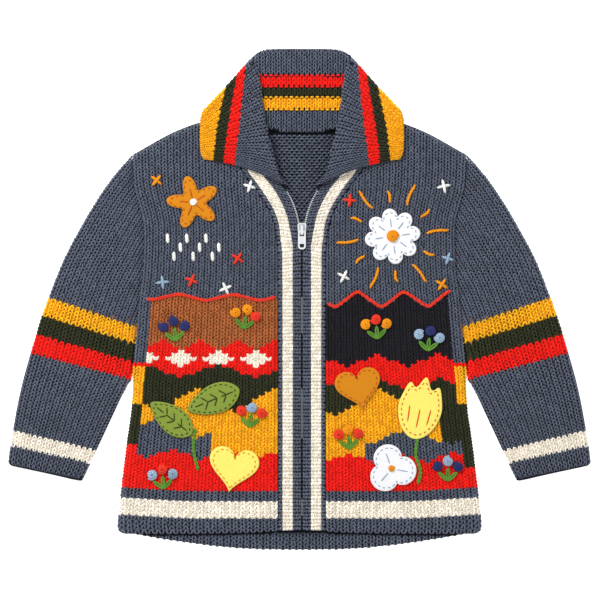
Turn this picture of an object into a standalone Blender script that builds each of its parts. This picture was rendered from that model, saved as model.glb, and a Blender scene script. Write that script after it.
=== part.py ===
"""A child's hand-knitted zip-up cardigan with a wide fold-over collar.

It lies flat on its back on a surface: the back panel and the under sides of the sleeves touch it,
the fronts lie on the back, and the collar is turned down over the fronts and folds under itself
behind the neck. X runs across the sleeves, Y from the hem (-) to the collar (+), and Z up.
Tables are in millimetres. In a table, "out" is the distance sideways from a centre line, so that
one row serves the left half and the right half.
"""

import math

import bmesh
import bpy
from mathutils import Vector

MM = 0.001
LEFT, RIGHT = -1, 1  # the viewer's left and right, which are the wearer's right and left

# Thicknesses and heights
WALL = 3.5
GAP = 0.3
FELT = 2.0
BACK_HEIGHT = WALL / 2
FRONT_HEIGHT = 1.5 * WALL + GAP
CLOSURE_RISE = 3.0
CLOSURE_REACH = 70.0
EDGE_FOOT = 0.3

# The zip's line lies a little right of the middle of the body.
CLOSURE_X = 2.4

# Outline of the body, from the hem corner up to the underarm
SIDE_EDGE = [  # out, y
    (181.5, -231.5),
    (182.5, -223.0),
    (178.0, -182.0),
    (173.0, -142.0),
    (168.5, -110.0),
    (166.5, -77.5),
]
ARMHOLE = [  # out, y, from the underarm up to the shoulder point
    (166.5, -77.5),
    (162.5, -41.5),
    (159.5, -6.5),
    (155.5, 25.5),
    (154.0, 58.5),
    (155.0, 78.5),
    (159.5, 96.0),
    (164.0, 114.0),
    (165.5, 144.5),
]
SHOULDER = [  # out, y, from the shoulder point towards the neck
    (165.5, 144.5),
    (139.5, 159.5),
    (121.5, 168.5),
    (100.5, 176.0),
    (82.0, 178.6),
    (64.3, 179.4),
]
FRONT_HEM = [  # out, y, from the side to the band
    (181.0, -231.5),
    (176.0, -234.3),
    (165.0, -234.8),
    (100.0, -234.8),
    (45.0, -233.6),
    (24.0, -232.0),
]
BACK_HEM = [  # out, y, from the side to the middle
    (176.4, -232.5),
    (160.0, -236.0),
    (120.0, -242.5),
    (80.0, -247.5),
    (45.0, -250.0),
    (0.0, -250.7),
]
BACK_NECK = [  # out, y, from the neck point to the middle
    (49.9, 173.8),
    (46.0, 171.4),
    (38.0, 168.6),
    (24.0, 166.3),
    (0.0, 165.3),
]

# The band down each front's edge, as pairs of points across it, "out" from the zip's line.
# The panel's rows run from the band's outer points to a height on the side or the armhole.
BAND = [  # outer out, outer y, inner out, inner y, y of the panel's row at its side
    (23.6, -231.8, 0.75, -231.0, -231.5),
    (23.6, -222.0, 0.75, -222.0, -223.0),
    (23.6, -185.0, 0.75, -185.0, -182.0),
    (23.6, -140.0, 0.75, -140.0, -135.0),
    (23.6, -90.0, 0.75, -90.0, -77.5),
    (23.6, -80.0, 0.75, -80.0, -67.0),
    (23.6, -40.0, 0.75, -40.0, -38.0),
    (23.8, 10.0, 0.75, 10.0, 4.0),
    (24.0, 42.0, 0.75, 46.0, 34.0),
    (24.6, 52.0, 0.75, 52.0, 50.0),
    (25.4, 63.0, 4.75, 60.0, 62.0),
    (27.9, 76.5, 4.75, 76.0, 74.0),
    (34.4, 92.0, 7.4, 87.5, 85.0),
    (43.9, 106.5, 11.9, 99.5, 96.0),
    (51.9, 117.5, 17.4, 109.0, 105.0),
    (58.9, 126.5, 25.9, 119.5, 114.0),
    (63.9, 138.5, 33.9, 131.5, 122.0),
    (65.9, 150.5, 39.9, 143.5, 130.0),
    (66.2, 164.5, 44.4, 158.5, 137.5),
    (66.2, 177.8, 49.4, 177.8, 144.5),
]

UNDERARM_Y = SIDE_EDGE[-1][1]
SEAM_HEIGHTS = [row[4] for row in BAND if row[4] > UNDERARM_Y][:-1]

# Sleeves: the top edge and the underarm edge, both from the cuff to the armhole
SLEEVE_TOP_EDGE = [  # out, y
    (292.4, -165.5),
    (290.5, -148.0),
    (282.5, -101.5),
    (272.5, -61.5),
    (259.5, -21.5),
    (245.5, 18.5),
    (226.5, 58.5),
    (209.5, 88.5),
    (189.5, 118.5),
    (169.4, 141.8),
]
SLEEVE_UNDER_EDGE = [  # out, y
    (215.9, -181.5),
    (206.5, -161.5),
    (192.5, -131.5),
    (178.5, -101.5),
    (169.0, -80.5),
]
SLEEVE_RINGS = 15
SLEEVE_CROWN = 2.2
UNDERSIDE_LIFT = 0.12  # the lower wall's share of the crown
SLEEVE_SEAM_INSET = 0.5
CUFF_CROWN, CUFF_REACH = 0.55, 1 / 6  # share of the crown at the cuff, and of the length until it is whole
SEAM_BOW_POWER, SEAM_SLACK_POWER = 4, 12  # how late along the sleeve its rings take the armhole's shape

# Collar: one knitted strip, from the seam on the neckline over the roll to its free edge.
# Each row is a section across the strip, from the middle of the back to the front end.
COLLAR = [  # seam out, seam y, roll out, roll y, edge out, edge y, seam z, z before, z after, edge z, bow
    (0.0, 166.2, 0.0, 248.8, 0.0, 185.5, 5.6, 5.9, 1.75, 1.75, 0.0),
    (18.0, 166.6, 18.0, 248.8, 20.5, 185.5, 5.65, 5.9, 1.75, 1.75, 0.0),
    (31.5, 168.8, 32.0, 248.4, 43.0, 186.0, 5.7, 5.85, 1.75, 1.75, 0.0),
    (41.5, 173.0, 43.0, 245.4, 70.0, 189.5, 5.75, 5.8, 1.75, 1.75, 0.0),
    (46.0, 177.6, 50.6, 238.4, 95.5, 188.0, 5.9, 5.8, 4.9, 4.8, 0.0),
    (47.4, 176.0, 45.4, 230.5, 101.0, 180.5, 6.2, 6.0, 10.4, 8.8, 0.0),
    (46.5, 171.5, 42.2, 214.5, 101.4, 172.5, 6.3, 6.6, 12.0, 9.5, 0.0),
    (44.8, 165.2, 39.6, 193.5, 101.8, 164.5, 6.4, 7.3, 13.4, 9.7, 0.0),
    (42.2, 156.0, 36.2, 172.5, 101.6, 156.5, 6.6, 8.1, 14.0, 9.95, 0.0),
    (38.4, 144.2, 31.4, 152.5, 101.4, 150.5, 6.8, 8.6, 14.0, 9.9, -1.2),
    (32.4, 132.4, 26.6, 135.5, 101.0, 146.3, 7.2, 9.0, 13.6, 9.7, -2.5),
    (24.4, 120.6, 22.0, 121.5, 99.6, 142.6, 7.7, 9.3, 13.2, 9.55, -3.5),
    (15.2, 110.8, 15.0, 112.2, 97.2, 139.3, 8.3, 9.0, 13.4, 9.4, -4.0),
]
COLLAR_SPLIT = 2  # sections made between two rows
ROLL_BEND = 2.0
ROLL_EASE = 0.03  # share of the roll's height still left where the fall starts
SHORT_STAND_BEND = 0.25  # most of the stand's length that the bend takes
STAND_BULGE = 0.9  # rise of the stand's middle over a fall folded under it
STAND_SAG = 0.6  # drop of the stand's middle where the fall lies on the front
FALL_START, FALL_SLOPE = 0.08, 0.7  # shares of the fall where it leaves the roll, and over which it comes down
FALL_ARCH = 0.3
FOLD_RANGE = 4.0  # height between stand and fall at which the fall counts as folded under
LONG_STAND = 50.0
COLLAR_STAND_STEPS = (0.0, 0.35, 0.7)
COLLAR_FALL_STEPS = (0.1, 0.18, 0.28, 0.4, 0.55, 0.7, 0.85, 1.0)

# Zip
ZIP_EDGE = [  # middle of the teeth out, y
    (0.95, -229.0),
    (0.95, -120.0),
    (0.95, 0.0),
    (0.95, 61.5),
    (2.0, 69.5),
    (3.4, 75.5),
    (5.4, 84.5),
    (9.6, 96.5),
    (15.4, 107.0),
]
TEETH_WIDTH = 1.5
TEETH_HEIGHT = 1.8
TAPE_WIDTH = 9.0
TAPE_HEIGHT = 0.6
SLIDER_TOP_Y = 75.5
SLIDER_FOOT_Y = 61.5
SLIDER_HALF_WIDTH = 4.35
SLIDER_FOOT_HALF_WIDTH = 3.3
SLIDER_LOWER = (3.8, 4.4)
SLIDER_UPPER = (7.0, 8.0)
SLIDER_POST_HALF_WIDTH = 1.1
SLIDER_POST_LENGTH = 3.0
BAIL_WIDTH = 2.7
BAIL_PROFILE = [  # y, z: over the top, then back along the inside
    (75.2, 7.6),
    (73.6, 11.4),
    (71.2, 13.2),
    (64.4, 13.2),
    (63.4, 12.4),
    (63.4, 7.6),
    (64.8, 7.6),
    (64.8, 12.1),
    (70.6, 12.1),
    (72.2, 10.6),
    (73.4, 7.6),
]
TAB_AXIS = (CLOSURE_X, 67.3, 11.2)
TAB_HEIGHT = 1.2
TAB_HALF_WIDTH = 3.95
TAB_LENGTH = 18.3
TAB_BAR = 0.6
TAB_WINDOW = (2.3, -0.6, -5.2)  # half width, near end, far end
TAB_HOLE = (2.25, -12.8, -16.5)

# Felt motifs sewn on the fronts: x, y, size, turn in degrees
FELT_PLACES = {
    "felt_star": (-106.0, 96.0, 27.0, 14.0),
    "felt_daisy": (93.0, 62.0, 28.0, 8.0),
    "felt_leaf_low": (-128.0, -120.0, 26.0, 52.0),
    "felt_leaf_high": (-86.0, -101.0, 28.0, 112.0),
    "felt_heart_pale": (-66.0, -168.0, 25.0, -10.0),
    "felt_tulip": (120.0, -112.0, 32.0, -12.0),
    "felt_heart_ochre": (59.0, -88.0, 23.0, 12.0),
    "felt_clover": (92.0, -170.0, 25.0, 20.0),
}
FELT_RINGS = (0.3, 0.65, 1.0)

SLATE = (0.071, 0.088, 0.120)
TAPE_GREY = (0.035, 0.036, 0.042)
SILVER = (0.78, 0.79, 0.80)
OCHRE = (0.68, 0.25, 0.008)
WHITE = (0.88, 0.88, 0.90)
PALE_YELLOW = (0.83, 0.70, 0.17)
OLIVE = (0.20, 0.29, 0.040)


def clear_scene():
    for obj in list(bpy.data.objects):
        bpy.data.objects.remove(obj)


def material(name, colour, roughness, metallic=0.0):
    made = bpy.data.materials.new(name)
    made.use_nodes = True
    shader = made.node_tree.nodes["Principled BSDF"]
    shader.inputs["Base Color"].default_value = (*colour, 1.0)
    shader.inputs["Roughness"].default_value = roughness
    shader.inputs["Metallic"].default_value = metallic
    return made


def smooth_step(value):
    value = min(max(value, 0.0), 1.0)
    return value * value * (3.0 - 2.0 * value)


def catmull_rom(a, b, c, d, t):
    """The point at t between b and c, which may hold any number of values."""
    return [
        0.5 * (2 * q + (r - p) * t + (2 * p - 5 * q + 4 * r - s) * t * t + (3 * q - p - 3 * r + s) * t**3)
        for p, q, r, s in zip(a, b, c, d)
    ]


def refine(rows, steps):
    """The rows of a table with steps sections to each interval, on a smooth curve through them."""
    result = []
    for index in range(len(rows) - 1):
        before = rows[max(index - 1, 0)]
        after = rows[min(index + 2, len(rows) - 1)]
        for step in range(steps):
            result.append(catmull_rom(before, rows[index], rows[index + 1], after, step / steps))
    result.append(list(rows[-1]))
    return result


class Path:
    """A smooth curve through a table's points, read by the share of its length."""

    def __init__(self, points):
        self.points = [Vector(point) for point in refine(points, 8)]
        self.lengths = [0.0]
        for start, end in zip(self.points, self.points[1:]):
            self.lengths.append(self.lengths[-1] + (end - start).length)

    def at(self, share):
        wanted = min(max(share, 0.0), 1.0) * self.lengths[-1]
        for index in range(len(self.points) - 1):
            if wanted <= self.lengths[index + 1]:
                span = self.lengths[index + 1] - self.lengths[index]
                return self.points[index].lerp(self.points[index + 1], (wanted - self.lengths[index]) / span)
        return self.points[-1].copy()

    def at_height(self, y):
        """The point of a path that only rises, at a height of y."""
        for start, end in zip(self.points, self.points[1:]):
            if y <= end.y:
                return start.lerp(end, max(y - start.y, 0.0) / (end.y - start.y))
        return self.points[-1].copy()


def patch(bottom, top, start, end, u, v):
    """A point at u on the row from start to end, bent as the hem is at v = 0 and the top at v = 1."""
    low = bottom.at(0).lerp(bottom.at(1), u)
    high = top.at(0).lerp(top.at(1), u)
    return start.lerp(end, u) + (bottom.at(u) - low) * (1 - v) + (top.at(u) - high) * v


def front_height(x):
    """Height of the middle of the front's wall: it rises over the zip."""
    distance = abs(x - CLOSURE_X)
    return FRONT_HEIGHT + CLOSURE_RISE * smooth_step(1.0 - distance / CLOSURE_REACH)


def new_object(name, mesh, paint, collection):
    mesh.materials.append(paint)
    obj = bpy.data.objects.new(name, mesh)
    collection.objects.link(obj)
    return obj


def sheet(name, rows, paint, collection, thickness=WALL, closed=False):
    """A wall whose middle surface runs through rows of points in millimetres."""
    shape = bmesh.new()
    grid = [[shape.verts.new(Vector(point) * MM) for point in row] for row in rows]
    for low, high in zip(grid, grid[1:]):
        count = len(low)
        for index in range(count if closed else count - 1):
            after = (index + 1) % count
            shape.faces.new((low[index], low[after], high[after], high[index]))
    bmesh.ops.recalc_face_normals(shape, faces=shape.faces)
    mesh = bpy.data.meshes.new(name)
    shape.to_mesh(mesh)
    shape.free()
    mesh.shade_smooth()
    obj = new_object(name, mesh, paint, collection)
    wall = obj.modifiers.new("Wall", "SOLIDIFY")
    wall.thickness = thickness * MM
    wall.offset = 0.0
    return obj


def bar(name, rings, paint, collection):
    """A closed bar through rings of points in millimetres, with flat ends."""
    shape = bmesh.new()
    loops = [[shape.verts.new(Vector(point) * MM) for point in ring] for ring in rings]
    for low, high in zip(loops, loops[1:]):
        for index in range(len(low)):
            after = (index + 1) % len(low)
            shape.faces.new((low[index], low[after], high[after], high[index]))
    shape.faces.new(loops[0])
    shape.faces.new(loops[-1])
    bmesh.ops.recalc_face_normals(shape, faces=shape.faces)
    mesh = bpy.data.meshes.new(name)
    shape.to_mesh(mesh)
    shape.free()
    return new_object(name, mesh, paint, collection)


def plate(name, outlines, half_height, paint, collection):
    """A flat plate from a closed outline and its holes, as a filled 2D curve."""
    curve = bpy.data.curves.new(name, "CURVE")
    curve.dimensions = "2D"
    curve.fill_mode = "BOTH"
    curve.extrude = half_height * MM
    for outline in outlines:
        spline = curve.splines.new("POLY")
        spline.points.add(len(outline) - 1)
        for point, (x, y) in zip(spline.points, outline):
            point.co = (x * MM, y * MM, 0.0, 1.0)
        spline.use_cyclic_u = True
    return new_object(name, curve, paint, collection)


def as_mesh(obj, collection):
    """The same solid as a mesh, with the curve's loose caps welded on."""
    graph = bpy.context.evaluated_depsgraph_get()
    bpy.context.view_layer.update()
    mesh = bpy.data.meshes.new_from_object(obj.evaluated_get(graph))
    shape = bmesh.new()
    shape.from_mesh(mesh)
    bmesh.ops.remove_doubles(shape, verts=shape.verts, dist=0.001 * MM)
    bmesh.ops.recalc_face_normals(shape, faces=shape.faces)
    shape.to_mesh(mesh)
    shape.free()
    name = obj.name
    made = bpy.data.objects.new(name + "_mesh", mesh)
    made.matrix_world = obj.matrix_world
    collection.objects.link(made)
    bpy.data.objects.remove(obj)
    made.name = name
    return made


# Front panels. The side and the shoulder roll down past the back panel's edge.
ROLL_INSETS = (0.0, 0.0, 1.0, 3.4)
ROLL_DROPS = (FRONT_HEIGHT - EDGE_FOOT, FRONT_HEIGHT - 3.0, 0.7, 0.0)
FLAT_INSETS = (0.0, 1.2, 2.4, 4.2)
FRONT_COLUMNS = (0.07, 0.16, 0.27, 0.4, 0.53, 0.66, 0.78, 0.89, 1.0)
PANEL_WIDTH = 150.0
ARMHOLE_EASE = 0.1  # kept from the seam's gap, for the facets of the curve


def front(name, side, paint, collection):
    left = Path([(out - WALL / 2, y) for out, y in SIDE_EDGE])
    armhole = Path([(out - GAP / 2 - ARMHOLE_EASE, y) for out, y in ARMHOLE])
    shift = side * CLOSURE_X
    ends = [Vector((row[0] + GAP + shift, row[1])) for row in BAND]
    bottom = Path(FRONT_HEM[:-1] + [tuple(ends[0])])
    top = Path([(out, y - WALL / 2) for out, y in SHOULDER[:-1]] + [tuple(ends[-1])])
    stops = [(row[4], end, 0.0) for row, end in zip(BAND[:-1], ends)]
    for inset, drop in list(zip(ROLL_INSETS, ROLL_DROPS))[::-1]:
        stops.append((BAND[-1][4] - inset, ends[-1] - Vector((0.0, inset)), drop))
    rows = []
    for side_y, end, drop_top in stops:
        rolled = side_y <= UNDERARM_Y
        start = left.at_height(side_y) if rolled else armhole.at_height(side_y)
        v = (end.y - ends[0].y) / (ends[-1].y - ends[0].y)
        insets = ROLL_INSETS if rolled else FLAT_INSETS
        drops = ROLL_DROPS if rolled else (0.0, 0.0, 0.0, 0.0)
        columns = [(inset / PANEL_WIDTH, drop) for inset, drop in zip(insets, drops)]
        columns += [(u, 0.0) for u in FRONT_COLUMNS]
        row = []
        for u, drop in columns:
            flat = patch(bottom, top, start, end, u, v)
            x = side * flat.x
            row.append((x, flat.y, front_height(x) - max(drop, drop_top)))
        rows.append(row)
    return sheet(name, rows, paint, collection)


# Back panel: a half, mirrored at the middle
BACK_COLUMNS = 9
BACK_SIDE_HEIGHTS = [-223.0, -182.0, -135.0, -100.0]
BACK_TUCK = 0.5  # how much further in the back's edge lies than the front's roll needs
SHOULDER_TUCK = 1.2
UNDERARM_TUCK, UNDERARM_TUCK_TOP = 3.0, -60.0


def back(name, paint, collection):
    inset = WALL + GAP + BACK_TUCK
    side = Path([(out - inset, y) for out, y in SIDE_EDGE[1:]])
    armhole = Path([(out - GAP / 2 - ARMHOLE_EASE, y) for out, y in ARMHOLE])
    starts = [Vector(BACK_HEM[0])] + [side.at_height(y) for y in BACK_SIDE_HEIGHTS]
    starts.append(side.at(1))
    for y in SEAM_HEIGHTS:
        starts.append(armhole.at_height(y) - Vector((UNDERARM_TUCK if y < UNDERARM_TUCK_TOP else 0.0, 0.0)))
    starts[-1] -= Vector((WALL, 0.0))
    bottom = Path(BACK_HEM)
    shoulder = [(out, y - inset - SHOULDER_TUCK) for out, y in SHOULDER[1:-1]]
    top = Path([tuple(starts[-1])] + shoulder + BACK_NECK)
    low, high = BACK_HEM[-1][1], BACK_NECK[-1][1]
    rows = []
    for start in starts:
        v = (start.y - starts[0].y) / (starts[-1].y - starts[0].y)
        end = Vector((0.0, low + (high - low) * v))
        points = [patch(bottom, top, start, end, u / BACK_COLUMNS, v) for u in range(BACK_COLUMNS + 1)]
        rows.append([(-point.x, point.y, BACK_HEIGHT) for point in points])
    obj = sheet(name, rows, paint, collection)
    obj.modifiers.clear()
    mirror = obj.modifiers.new("Halves", "MIRROR")
    mirror.merge_threshold = 0.0001
    mirror.use_clip = True
    wall = obj.modifiers.new("Wall", "SOLIDIFY")
    wall.thickness = WALL * MM
    wall.offset = 0.0
    return obj


BAND_SHARES = (0.0, 0.33, 0.67, 1.0)


def band(name, side, paint, collection):
    rows = []
    for outer_out, outer_y, inner_out, inner_y, _ in BAND:
        row = []
        for share in BAND_SHARES:
            x = CLOSURE_X + side * (outer_out + (inner_out - outer_out) * share)
            row.append((x, outer_y + (inner_y - outer_y) * share, front_height(x)))
        rows.append(row)
    return sheet(name, rows, paint, collection)


def sleeve(name, side, paint, collection):
    """A flattened tube: each ring runs over the upper wall and back along the lower one."""
    top_edge = Path([(out - WALL / 2, y - WALL / 4) for out, y in SLEEVE_TOP_EDGE])
    under_edge = Path([(out + WALL / 2, y - WALL / 4) for out, y in SLEEVE_UNDER_EDGE])
    armhole = Path([(out + SLEEVE_SEAM_INSET, y) for out, y in ARMHOLE])
    shoulder_y = ARMHOLE[-1][1]
    seam_shares = [(shoulder_y - y) / (shoulder_y - UNDERARM_Y) for y in reversed(SEAM_HEIGHTS)]
    middle = (FRONT_HEIGHT + BACK_HEIGHT) / 2
    bend = (FRONT_HEIGHT - BACK_HEIGHT) / 2
    rings = []
    for step in range(SLEEVE_RINGS + 1):
        t = step / SLEEVE_RINGS
        outer, inner = top_edge.at(t), under_edge.at(t)
        width = (inner - outer).length
        last_outer, last_inner = top_edge.at(1), under_edge.at(1)
        crown = SLEEVE_CROWN * (1.0 - t**3) * (CUFF_CROWN + (1.0 - CUFF_CROWN) * smooth_step(t / CUFF_REACH))

        def point(share, height, crowned=0.0):
            seam = armhole.at_height(armhole.at(1).y + (UNDERARM_Y - armhole.at(1).y) * share)
            bow = seam - armhole.at(1).lerp(armhole.at(0), share)
            spot = outer.lerp(inner, share) + bow * t**SEAM_BOW_POWER
            slack = seam - last_outer.lerp(last_inner, share) - bow
            spot += slack * t**SEAM_SLACK_POWER * smooth_step(min(share, 1 - share) / seam_shares[0])
            rise = crowned * crown * math.sin(math.pi * share)
            return (side * spot.x, spot.y, height + rise)

        tuck = bend * (1 - math.sqrt(0.5)) / width
        turn = bend / width
        slant = bend * math.sqrt(0.5)
        shares = [turn, *seam_shares, 1 - turn]
        ring = [point(0.0, middle), point(tuck, middle + slant)]
        ring += [point(share, middle + bend, 1.0) for share in shares]
        ring += [point(1 - tuck, middle + slant), point(1.0, middle), point(1 - tuck, middle - slant)]
        ring += [point(share, middle - bend, UNDERSIDE_LIFT) for share in reversed(shares)]
        ring.append(point(tuck, middle - slant))
        rings.append(ring)
    return sheet(name, rings, paint, collection, closed=True)


def collar_section(row):
    """Points across the strip: up the stand, round the roll and along the fall."""
    seam_out, seam_y, roll_out, roll_y, edge_out, edge_y, seam_z, before, after, edge_z, bow = row
    seam, roll, edge = Vector((seam_out, seam_y)), Vector((roll_out, roll_y)), Vector((edge_out, edge_y))
    stand, fall = seam - roll, edge - roll
    side_step = Vector((fall.y, -fall.x)).normalized()
    folded_under = smooth_step((before - after) / FOLD_RANGE)
    stand_bulge = (STAND_BULGE * folded_under - STAND_SAG * (1.0 - folded_under)) * min(stand.length / LONG_STAND, 1.0)
    points = []
    for share in COLLAR_STAND_STEPS:
        flat = seam - stand * share
        height = seam_z + (before - seam_z) * share + stand_bulge * math.sin(math.pi * share)
        points.append((flat.x, flat.y, height))
    bend = min(ROLL_BEND / stand.length, SHORT_STAND_BEND)
    near = roll + stand * bend
    points.append((near.x, near.y, before))
    points.append((roll.x, roll.y, (before + after) / 2))
    near = roll + fall.normalized() * ROLL_BEND
    points.append((near.x, near.y, after + ROLL_EASE * (before - after)))
    for share in COLLAR_FALL_STEPS:
        flat = roll + fall * share + side_step * bow * math.sin(math.pi * share)
        height = edge_z + (after - edge_z) * (1.0 - smooth_step((share - FALL_START) / FALL_SLOPE))
        height += FALL_ARCH * math.sin(math.pi * share)
        if edge_z > FRONT_HEIGHT:
            height = max(height, front_height(CLOSURE_X - flat.x) + WALL + GAP)
        points.append((flat.x, flat.y, height))
    return [(x, y, max(z, BACK_HEIGHT)) for x, y, z in points]


def collar(name, paint, collection):
    sections = [collar_section(row) for row in refine(COLLAR, COLLAR_SPLIT)]
    rows = [[(-x, y, z) for x, y, z in section] for section in sections]
    obj = sheet(name, rows, paint, collection)
    obj.modifiers.clear()
    obj.location.x = CLOSURE_X * MM
    mirror = obj.modifiers.new("Halves", "MIRROR")
    mirror.merge_threshold = 0.0001
    wall = obj.modifiers.new("Wall", "SOLIDIFY")
    wall.thickness = WALL * MM
    wall.offset = 0.0
    return obj


def zip_side(name, side, paint, collection):
    """The tape with the row of teeth along its edge, hung 0.3 mm under the band."""
    profile = [
        (-TEETH_WIDTH / 2, -TEETH_HEIGHT / 2),
        (TEETH_WIDTH / 2, -TEETH_HEIGHT / 2),
        (TEETH_WIDTH / 2, -TAPE_HEIGHT / 2),
        (TEETH_WIDTH / 2 + TAPE_WIDTH, -TAPE_HEIGHT / 2),
        (TEETH_WIDTH / 2 + TAPE_WIDTH, TAPE_HEIGHT / 2),
        (TEETH_WIDTH / 2, TAPE_HEIGHT / 2),
        (TEETH_WIDTH / 2, TEETH_HEIGHT / 2),
        (-TEETH_WIDTH / 2, TEETH_HEIGHT / 2),
    ]
    line = refine(ZIP_EDGE, 2)
    rings = []
    for index, (out, y) in enumerate(line):
        start, end = line[max(index - 1, 0)], line[min(index + 1, len(line) - 1)]
        along = Vector((end[0] - start[0], end[1] - start[1])).normalized()
        across = Vector((along.y, -along.x))
        ring = []
        for offset, height in profile:
            x = CLOSURE_X + side * (out + across.x * offset)
            drop = WALL / 2 + GAP + TEETH_HEIGHT / 2
            ring.append((x, y + across.y * offset, front_height(x) - drop + height))
        rings.append(ring)
    return bar(name, rings, paint, collection)


def slider(name, paint, collection, helpers):
    """Two plates held apart by a post, with the bail that carries the pull tab."""
    top, foot = SLIDER_TOP_Y, SLIDER_FOOT_Y
    wide, slim = SLIDER_HALF_WIDTH, SLIDER_FOOT_HALF_WIDTH
    shield = [
        (-wide, top - 1.5),
        (-wide, top - 6.0),
        (-slim, foot + 1.0),
        (-slim + 1.0, foot),
        (slim - 1.0, foot),
        (slim, foot + 1.0),
        (wide, top - 6.0),
        (wide, top - 1.5),
        (wide - 1.5, top),
        (-wide + 1.5, top),
    ]
    post = [
        (-SLIDER_POST_HALF_WIDTH, top - SLIDER_POST_LENGTH),
        (SLIDER_POST_HALF_WIDTH, top - SLIDER_POST_LENGTH),
        (SLIDER_POST_HALF_WIDTH, top - 0.4),
        (-SLIDER_POST_HALF_WIDTH, top - 0.4),
    ]
    pieces = []
    for piece_name, outline, (low, high) in (
        ("slider_lower_plate", shield, SLIDER_LOWER),
        ("slider_post", post, (SLIDER_LOWER[1] - 0.3, SLIDER_UPPER[0] + 0.3)),
        (name, shield, SLIDER_UPPER),
    ):
        piece = plate(piece_name, [outline], (high - low) / 2, paint, collection)
        piece.location = (CLOSURE_X * MM, 0.0, (low + high) / 2 * MM)
        pieces.append(piece)
    bail = plate("slider_bail", [BAIL_PROFILE], BAIL_WIDTH / 2, paint, collection)
    bail.rotation_euler = (math.pi / 2, 0.0, math.pi / 2)
    bail.location = (CLOSURE_X * MM, 0.0, 0.0)
    pieces.append(bail)
    bpy.context.view_layer.update()
    lower, post_piece, upper, bail_piece = [as_mesh(piece, collection) for piece in pieces]
    for other in (lower, post_piece, bail_piece):
        collection.objects.unlink(other)
        helpers.objects.link(other)
        other.hide_render = True
        other.display_type = "WIRE"
        union = upper.modifiers.new("Join " + other.name, "BOOLEAN")
        union.operation = "UNION"
        union.object = other
    return upper


def rounded_end(half_width, near, far, corner):
    """An upright outline with square corners at near and round ones of a given radius at far."""
    outline = [(-half_width, near), (half_width, near)]
    for side, start in ((1, 0.0), (-1, math.pi / 2)):
        for step in range(7):
            angle = start + math.pi / 2 * step / 6
            outline.append(
                (
                    side * (half_width - corner) + corner * math.cos(angle),
                    far + corner - corner * math.sin(angle),
                )
            )
    return outline


def pull_tab(name, paint, collection):
    """The tab, with its origin on the hinge axis: a window for the bail and a hole at the end."""
    body = rounded_end(TAB_HALF_WIDTH, TAB_BAR, -TAB_LENGTH, 3.4)
    window = rounded_end(*TAB_WINDOW, 0.8)
    hole = rounded_end(*TAB_HOLE, 1.6)
    obj = plate(name, [body, window, hole], TAB_HEIGHT / 2, paint, collection)
    obj.location = Vector(TAB_AXIS) * MM
    return obj


# Felt motifs, each an outline worked out by a formula at size 1
def star_outline(angle):
    radius = 0.74 + 0.26 * math.cos(5 * angle)
    return radius * math.sin(angle), radius * math.cos(angle)


def daisy_outline(angle):
    radius = 0.72 + 0.28 * abs(math.cos(4 * angle)) ** 0.7
    return radius * math.sin(angle), radius * math.cos(angle)


def clover_outline(angle):
    radius = 0.62 + 0.38 * abs(math.cos(1.5 * angle)) ** 0.8
    return radius * math.sin(angle), radius * math.cos(angle)


def heart_outline(angle):
    x = math.sin(angle) ** 3
    y = (13 * math.cos(angle) - 5 * math.cos(2 * angle) - 2 * math.cos(3 * angle) - math.cos(4 * angle)) / 16
    return x, y


def leaf_outline(angle):
    y = math.cos(angle)
    return 0.52 * math.sin(angle) * (1.0 - 0.25 * y) * abs(math.sin(angle)) ** 0.35, y


def tulip_outline(angle):
    y = math.cos(angle)
    tips = 0.16 * math.cos(3 * math.pi * math.sin(angle)) if y > 0 else 0.0
    return 0.68 * math.sin(angle) * (1.0 + 0.12 * y), 0.9 * y + tips * y


FELT_SHAPES = {
    "felt_star": (star_outline, 40, "ochre"),
    "felt_daisy": (daisy_outline, 48, "white"),
    "felt_leaf_low": (leaf_outline, 20, "olive"),
    "felt_leaf_high": (leaf_outline, 20, "olive"),
    "felt_heart_pale": (heart_outline, 28, "pale"),
    "felt_tulip": (tulip_outline, 30, "pale"),
    "felt_heart_ochre": (heart_outline, 28, "ochre"),
    "felt_clover": (clover_outline, 36, "white"),
}


def felt(name, paint, collection):
    outline, count, _ = FELT_SHAPES[name]
    x0, y0, size, turn = FELT_PLACES[name]
    turned = math.radians(turn)
    rings = []
    for scale in FELT_RINGS:
        ring = []
        for step in range(count):
            dx, dy = outline(2 * math.pi * step / count)
            x = x0 + size * scale * (dx * math.cos(turned) - dy * math.sin(turned))
            y = y0 + size * scale * (dx * math.sin(turned) + dy * math.cos(turned))
            ring.append((x, y, front_height(x) + WALL / 2 + GAP + FELT / 2))
        rings.append(ring)
    obj = sheet(name, rings, paint, collection, thickness=FELT, closed=True)
    shape = bmesh.new()
    shape.from_mesh(obj.data)
    shape.verts.ensure_lookup_table()
    shape.faces.new([shape.verts[index] for index in range(count)])
    bmesh.ops.recalc_face_normals(shape, faces=shape.faces)
    bmesh.ops.triangulate(shape, faces=[face for face in shape.faces if len(face.verts) > 4])
    shape.to_mesh(obj.data)
    shape.free()
    return obj


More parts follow.
